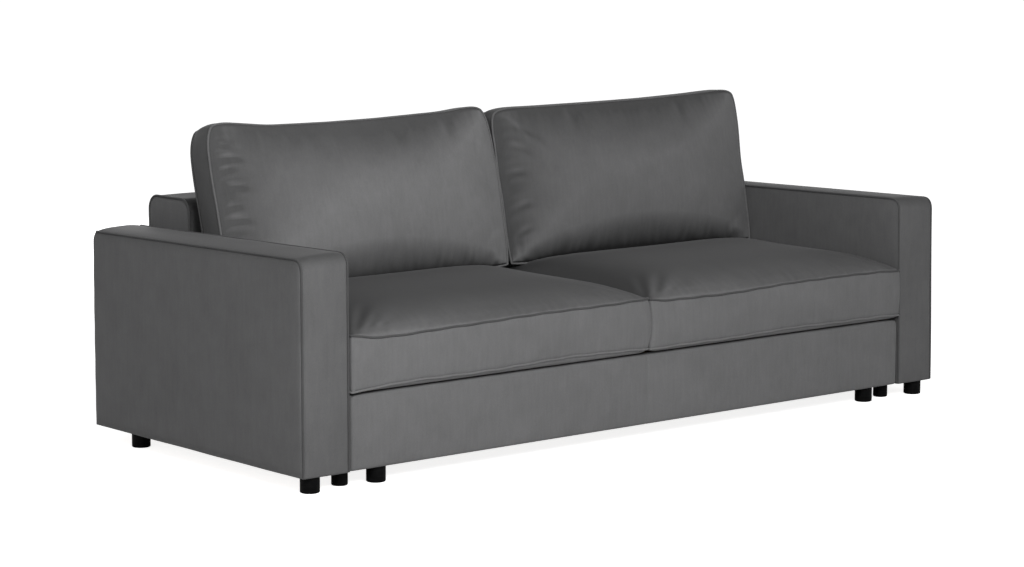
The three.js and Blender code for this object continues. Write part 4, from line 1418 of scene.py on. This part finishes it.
class SOFA_OT_back_cushions(Operator):
    """Sews the two loose back cushions, gathers their seams, and stands them against the back block"""

    bl_idname = "sofa.back_cushions"
    bl_label = "Back cushions"

    def execute(self, context):
        sizes = context.scene.sofa_sizes
        for seed, side in enumerate(SIDES):
            self.build(side, sizes, BACK_SEED + seed)
        return {"FINISHED"}

    def build(self, side, sizes, seed):
        node = f"back_cushion_{side}"
        width, height = BACK_CUSHION_WIDTH - BACK_PLAY, BACK_CUSHION_HEIGHT - BACK_PLAY
        cushion = BoxedCushion(width, height, BACK_SEAMS, BACK_CROWNS, BACK_FALLS, seed)
        cushion.corner, cushion.bows, cushion.swells = BACK_CORNER, BACK_BOWS[side], BACK_SWELLS[side]
        cushion.front_corners = BACK_LOWER_CORNER_SHARE
        piece = cushion.sewn(f"{node}_cover", sizes, pinned_low=False)
        for seam in ("low", "high"):
            groove(piece, dense(cushion.welt_path(seam, 0), closed=True))
        self.crease(piece, side, sizes.gather, seed)
        turn, shift = self.placing(piece, side, node)
        supports = [bpy.data.objects[name] for name in ("back_block_upholstery", f"arm_{side}_upholstery")]
        move_points(piece, press(points_of(piece) @ turn.T + shift, supports, CONTACT_GAP))
        # Each back cushion takes its own lighter copy of the velvet, the right one darker than the left,
        # with painted shade on faces turned left and up, and on its underside where it meets the seat.
        dress(piece, f"{side}_back", f"{side}_back_velvet", "velvet", node, fill=0.7)
        radius = sizes.welt / 2
        sinking = [piece]
        # The front welt takes a lighter copy of the velvet, painted light along the seam, and the rear one
        # the darker copy, painted shade.
        for seam, face, piping in (("high", "front", "bright_piping"), ("low", "rear", "piping")):
            path = cushion.welt_path(seam, WELT_STAND * radius) @ turn.T + shift
            path = press(path, supports, radius + CONTACT_GAP)
            welt = tube(f"{node}_{face}_welt", path, radius, turn[:, 2], closed=True)
            dress(welt, f"{side}_back", piping, "velvet")
            sinking.append(welt)
        seat = bpy.data.objects[f"seat_cushion_{side}_cover"]
        move_points(seat, press(points_of(seat), sinking, CONTACT_GAP))

    def placing(self, piece, side, node):
        """The turn and shift that stand the cushion where its node is, front and top against its box."""
        low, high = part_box(node)
        upright = np.array(((1, 0, 0), (0, 0, -1), (0, 1, 0)), float)
        lean = math.radians(BACK_CUSHION_LEAN[side])
        cosine, sine = math.cos(lean), math.sin(lean)
        leaning = np.array(((1, 0, 0), (0, cosine, sine), (0, -sine, cosine)))
        heading = math.radians(BACK_CUSHION_TURN[side])
        cosine, sine = math.cos(heading), math.sin(heading)
        headed = np.array(((cosine, -sine, 0), (sine, cosine, 0), (0, 0, 1)))
        turn = headed @ leaning @ upright
        points = points_of(piece) @ turn.T
        least, most = points.min(axis=0), points.max(axis=0)
        shift = np.array(((low[0] + high[0]) / 2, low[1] - least[1] - BACK_OVERHANG, high[2] - most[2]))
        shift[0] += BACK_CUSHION_HEIGHT / 2 * turn[0, 1]
        return turn, shift

    def crease(self, piece, side, depth, seed):
        """Gathers both faces along their seams, and presses the creases into the front one."""
        half_width, half_height = BACK_CUSHION_WIDTH / 2, BACK_CUSHION_HEIGHT / 2
        points = points_of(piece)
        x, y = points[:, 0], points[:, 1]
        front = smooth((points[:, 2] - BACK_SEAMS[1]) / BACK_FACE_FADE)
        rear = smooth((BACK_SEAMS[0] - points[:, 2]) / BACK_FACE_FADE)
        seams = ((x + half_width, y), (half_width - x, y), (half_height - y, x), (half_height + y, x))
        for order, (places, pulls) in enumerate(zip(seams, BACK_GATHERS[side])):
            reach, front_pull, rear_pull = pulls
            gather(piece, *places, depth, reach, front_pull * front + rear_pull * rear, seed + order)
        for across, up, slant, length, width, deep in CREASES[side]:
            centre = (across * MM - half_width, up * MM - half_height)
            dent(piece, centre, math.radians(slant), length * MM, width * MM, deep * MM, front)


class SOFA_OT_feet(Operator):
    """Turns the round plastic feet, with a soft lower edge"""

    bl_idname = "sofa.feet"
    bl_label = "Feet"

    def execute(self, context):
        feet = sorted(name for name in frame["nodes"] if name.endswith("_foot") or "_foot_" in name)
        for node in feet:
            self.turn(node)
        return {"FINISHED"}

    def turn(self, node):
        low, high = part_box(node)
        radius = (high[0] - low[0]) / 2
        centre = ((low[0] + high[0]) / 2, (low[1] + high[1]) / 2)
        top = self.shoulder(node)
        edge, neck = FOOT_EDGE, FOOT_NECK
        arc = np.linspace(-math.pi / 2, 0, FOOT_EDGE_STEPS + 1)
        profile = [(0, FOOT_HOLLOW_DEPTH), (FOOT_HOLLOW_SHARE * radius, FOOT_HOLLOW_DEPTH)]
        profile += [(FOOT_RING_SHARE * radius, FOOT_RING_RISE), (radius - edge, 0)]
        profile += [(radius - edge + edge * math.cos(a), edge + edge * math.sin(a)) for a in arc[1:]]
        profile += [(radius, top - 3 * neck), (radius - neck / 2, top - neck), (radius - neck, top)]
        profile += [(FOOT_STUD_RADIUS, top), (FOOT_STUD_RADIUS, high[2]), (0, high[2])]
        turns = 2 * math.pi * steps(FOOT_SIDES)[:, None]
        across, up = np.array(profile).T
        x, y = centre[0] + np.cos(turns) * across, centre[1] + np.sin(turns) * across
        cover = Cover()
        cover.panel(grid(x, y, low[2] + up))
        foot = cover.sewn(f"{node}_turned")
        dress(foot, bpy.data.objects[node]["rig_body"], "black_plastic", "black_plastic", node)
        foot.data.shade_smooth()
        keep_sharp(foot)

    def shoulder(self, node):
        """The height of the foot's top face, under its stud."""
        heights = [v.co.z for v in frame["nodes"][node].data.vertices]
        wide = [v.co.z for v in frame["nodes"][node].data.vertices if self.is_wide(node, v.co)]
        return max(wide or heights)

    def is_wide(self, node, point):
        low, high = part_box(node)
        away = math.hypot(point.x - (low[0] + high[0]) / 2, point.y - (low[1] + high[1]) / 2)
        return away > FOOT_SHOULDER_SHARE * (high[0] - low[0])


def keep_sharp(piece):
    """Marks sharp corners, so that smooth shading stops at them."""
    work = bmesh.new()
    work.from_mesh(piece.data)
    for edge in work.edges:
        if len(edge.link_faces) == 2 and edge.calc_face_angle() > SHARP_ANGLE:
            edge.smooth = False
    work.to_mesh(piece.data)
    work.free()


class SOFA_OT_base(Operator):
    """Finishes the timber, boards, rollers and bolts of the base and the pull-out carriage"""

    bl_idname = "sofa.base"
    bl_label = "Base and carriage"

    def execute(self, context):
        slots = {entry["node"]: entry["material_slot"] for entry in frame["record"]["subparts"]}
        for node, thing in frame["nodes"].items():
            slot = slots[node]
            if slot in ("velvet", "black_plastic"):
                continue
            thing.data.materials.clear()
            thing.data.materials.append(finished(self.finish_of(node, slot)))
            self.ease(thing, slot)
        return {"FINISHED"}

    def finish_of(self, node, slot):
        if slot == "steel":
            return "zinc_steel"
        if slot != "pine":
            return slot
        low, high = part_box(node)
        longest = max(range(3), key=lambda axis: high[axis] - low[axis])
        return f"pine_{GRAIN_WAYS[longest]}"

    def ease(self, thing, slot):
        """Takes the sharpness off the edges."""
        bevel = thing.modifiers.new("eased edges", "BEVEL")
        bevel.width = EASED_EDGES.get(slot, EASED_METAL_EDGE)
        bevel.segments = 2
        bevel.limit_method = "ANGLE"
        bevel.angle_limit = EASED_ANGLE
        bevel.harden_normals = False


# Studio


class SOFA_OT_studio(Operator):
    """Lights the sofa from the front left and the rear, on a plain white floor, and places the camera"""

    bl_idname = "sofa.studio"
    bl_label = "Studio"

    def execute(self, context):
        scene = context.scene
        scene.view_settings.view_transform = "Standard"
        self.add_floor(scene)
        self.add_world(scene)
        for name, (place, target, size, power) in LAMPS.items():
            self.add_lamp(name, place, target, size, power)
        self.add_camera(scene)
        return {"FINISHED"}

    def add_floor(self, scene):
        finish = Finish("studio_floor")
        finish.tree.nodes.remove(finish.surface)
        colour = scene.sofa_colours.floor
        rays = finish.node("ShaderNodeLightPath", output="Is Camera Ray")
        sweep = finish.noise(finish.place(), 3, 2, 0.5)
        tone = finish.mix(sweep, shaded(colour, 0.97), colour)
        matt = finish.node("ShaderNodeBsdfDiffuse", values={"Color": tone, "Roughness": 0.5})
        glow = finish.node("ShaderNodeEmission", values={"Color": (1, 1, 1), "Strength": rays * FLOOR_GLOW})
        both = finish.node("ShaderNodeAddShader", values={0: matt, 1: glow})
        both.join(finish.tree.nodes["Material Output"].inputs["Surface"])
        cover = Cover()
        places = FLOOR_REACH * (2 * steps(FLOOR_CELLS) - 1)
        cover.panel(grid(places[:, None], places[None, :], -FLOOR_DROP))
        floor = cover.sewn("studio_floor")
        floor.data.materials.append(finish.material)

    def add_world(self, scene):
        world = bpy.data.worlds.new("studio")
        scene.world = world
        world.use_nodes = True
        nodes = Nodes(world.node_tree)
        back = nodes.tree.nodes["Background"]
        rays = ("Is Camera Ray", "Is Glossy Ray", "Is Transmission Ray")
        first, *others = (nodes.node("ShaderNodeLightPath", output=ray) for ray in rays)
        seen = sum(others, first)
        strength = seen.maths("MAXIMUM", seen.maths("MINIMUM", seen, 1.0), AMBIENT_LIGHT)
        strength.join(back.inputs["Strength"])
        back.inputs["Color"].default_value = (1, 1, 1, 1)

    def add_lamp(self, name, place, target, size, power):
        lamp = bpy.data.lights.new(name, "AREA")
        lamp.shape = "RECTANGLE"
        lamp.size, lamp.size_y = size
        lamp.energy = power
        thing = bpy.data.objects.new(name, lamp)
        thing.location = place
        thing.rotation_euler = (Vector(target) - Vector(place)).to_track_quat("-Z", "Y").to_euler()
        bpy.context.scene.collection.objects.link(thing)

    def add_camera(self, scene):
        camera = bpy.data.cameras.new("camera")
        camera.sensor_width = SENSOR_WIDTH
        camera.lens = CAMERA_LENS
        camera.clip_end = CAMERA_REACH
        thing = bpy.data.objects.new("camera", camera)
        thing.location = CAMERA_PLACE
        thing.rotation_euler = (math.radians(90 - CAMERA_TILT), 0, math.radians(-CAMERA_TURN))
        scene.collection.objects.link(thing)
        scene.camera = thing


class SOFA_PT_panel(Panel):
    """Lists the sofa's pieces"""

    bl_idname = "SOFA_PT_panel"
    bl_label = "Sleeper sofa"
    bl_space_type = "VIEW_3D"
    bl_region_type = "UI"
    bl_category = "Sofa"

    def draw(self, context):
        layout = self.layout
        for group in (context.scene.sofa_sizes, context.scene.sofa_colours):
            for name in group.__annotations__:
                layout.prop(group, name)
        for operator in OPERATORS:
            layout.operator(operator.bl_idname)


OPERATORS = (
    SOFA_OT_arms,
    SOFA_OT_back_block,
    SOFA_OT_front_panel,
    SOFA_OT_seat_cushions,
    SOFA_OT_back_cushions,
    SOFA_OT_feet,
    SOFA_OT_base,
    SOFA_OT_studio,
)
CLASSES = (SofaSizes, SofaColours, *OPERATORS, SOFA_PT_panel)


def register():
    for cls in CLASSES:
        bpy.utils.register_class(cls)
    bpy.types.Scene.sofa_sizes = PointerProperty(type=SofaSizes)
    bpy.types.Scene.sofa_colours = PointerProperty(type=SofaColours)


def unregister():
    del bpy.types.Scene.sofa_colours
    del bpy.types.Scene.sofa_sizes
    for cls in reversed(CLASSES):
        bpy.utils.unregister_class(cls)


def main():
    register()
    bpy.ops.sofa.arms()
    bpy.ops.sofa.back_block()
    bpy.ops.sofa.front_panel()
    bpy.ops.sofa.seat_cushions()
    bpy.ops.sofa.back_cushions()
    bpy.ops.sofa.feet()
    bpy.ops.sofa.base()
    bpy.ops.sofa.studio()


if __name__ == "__main__":
    main()
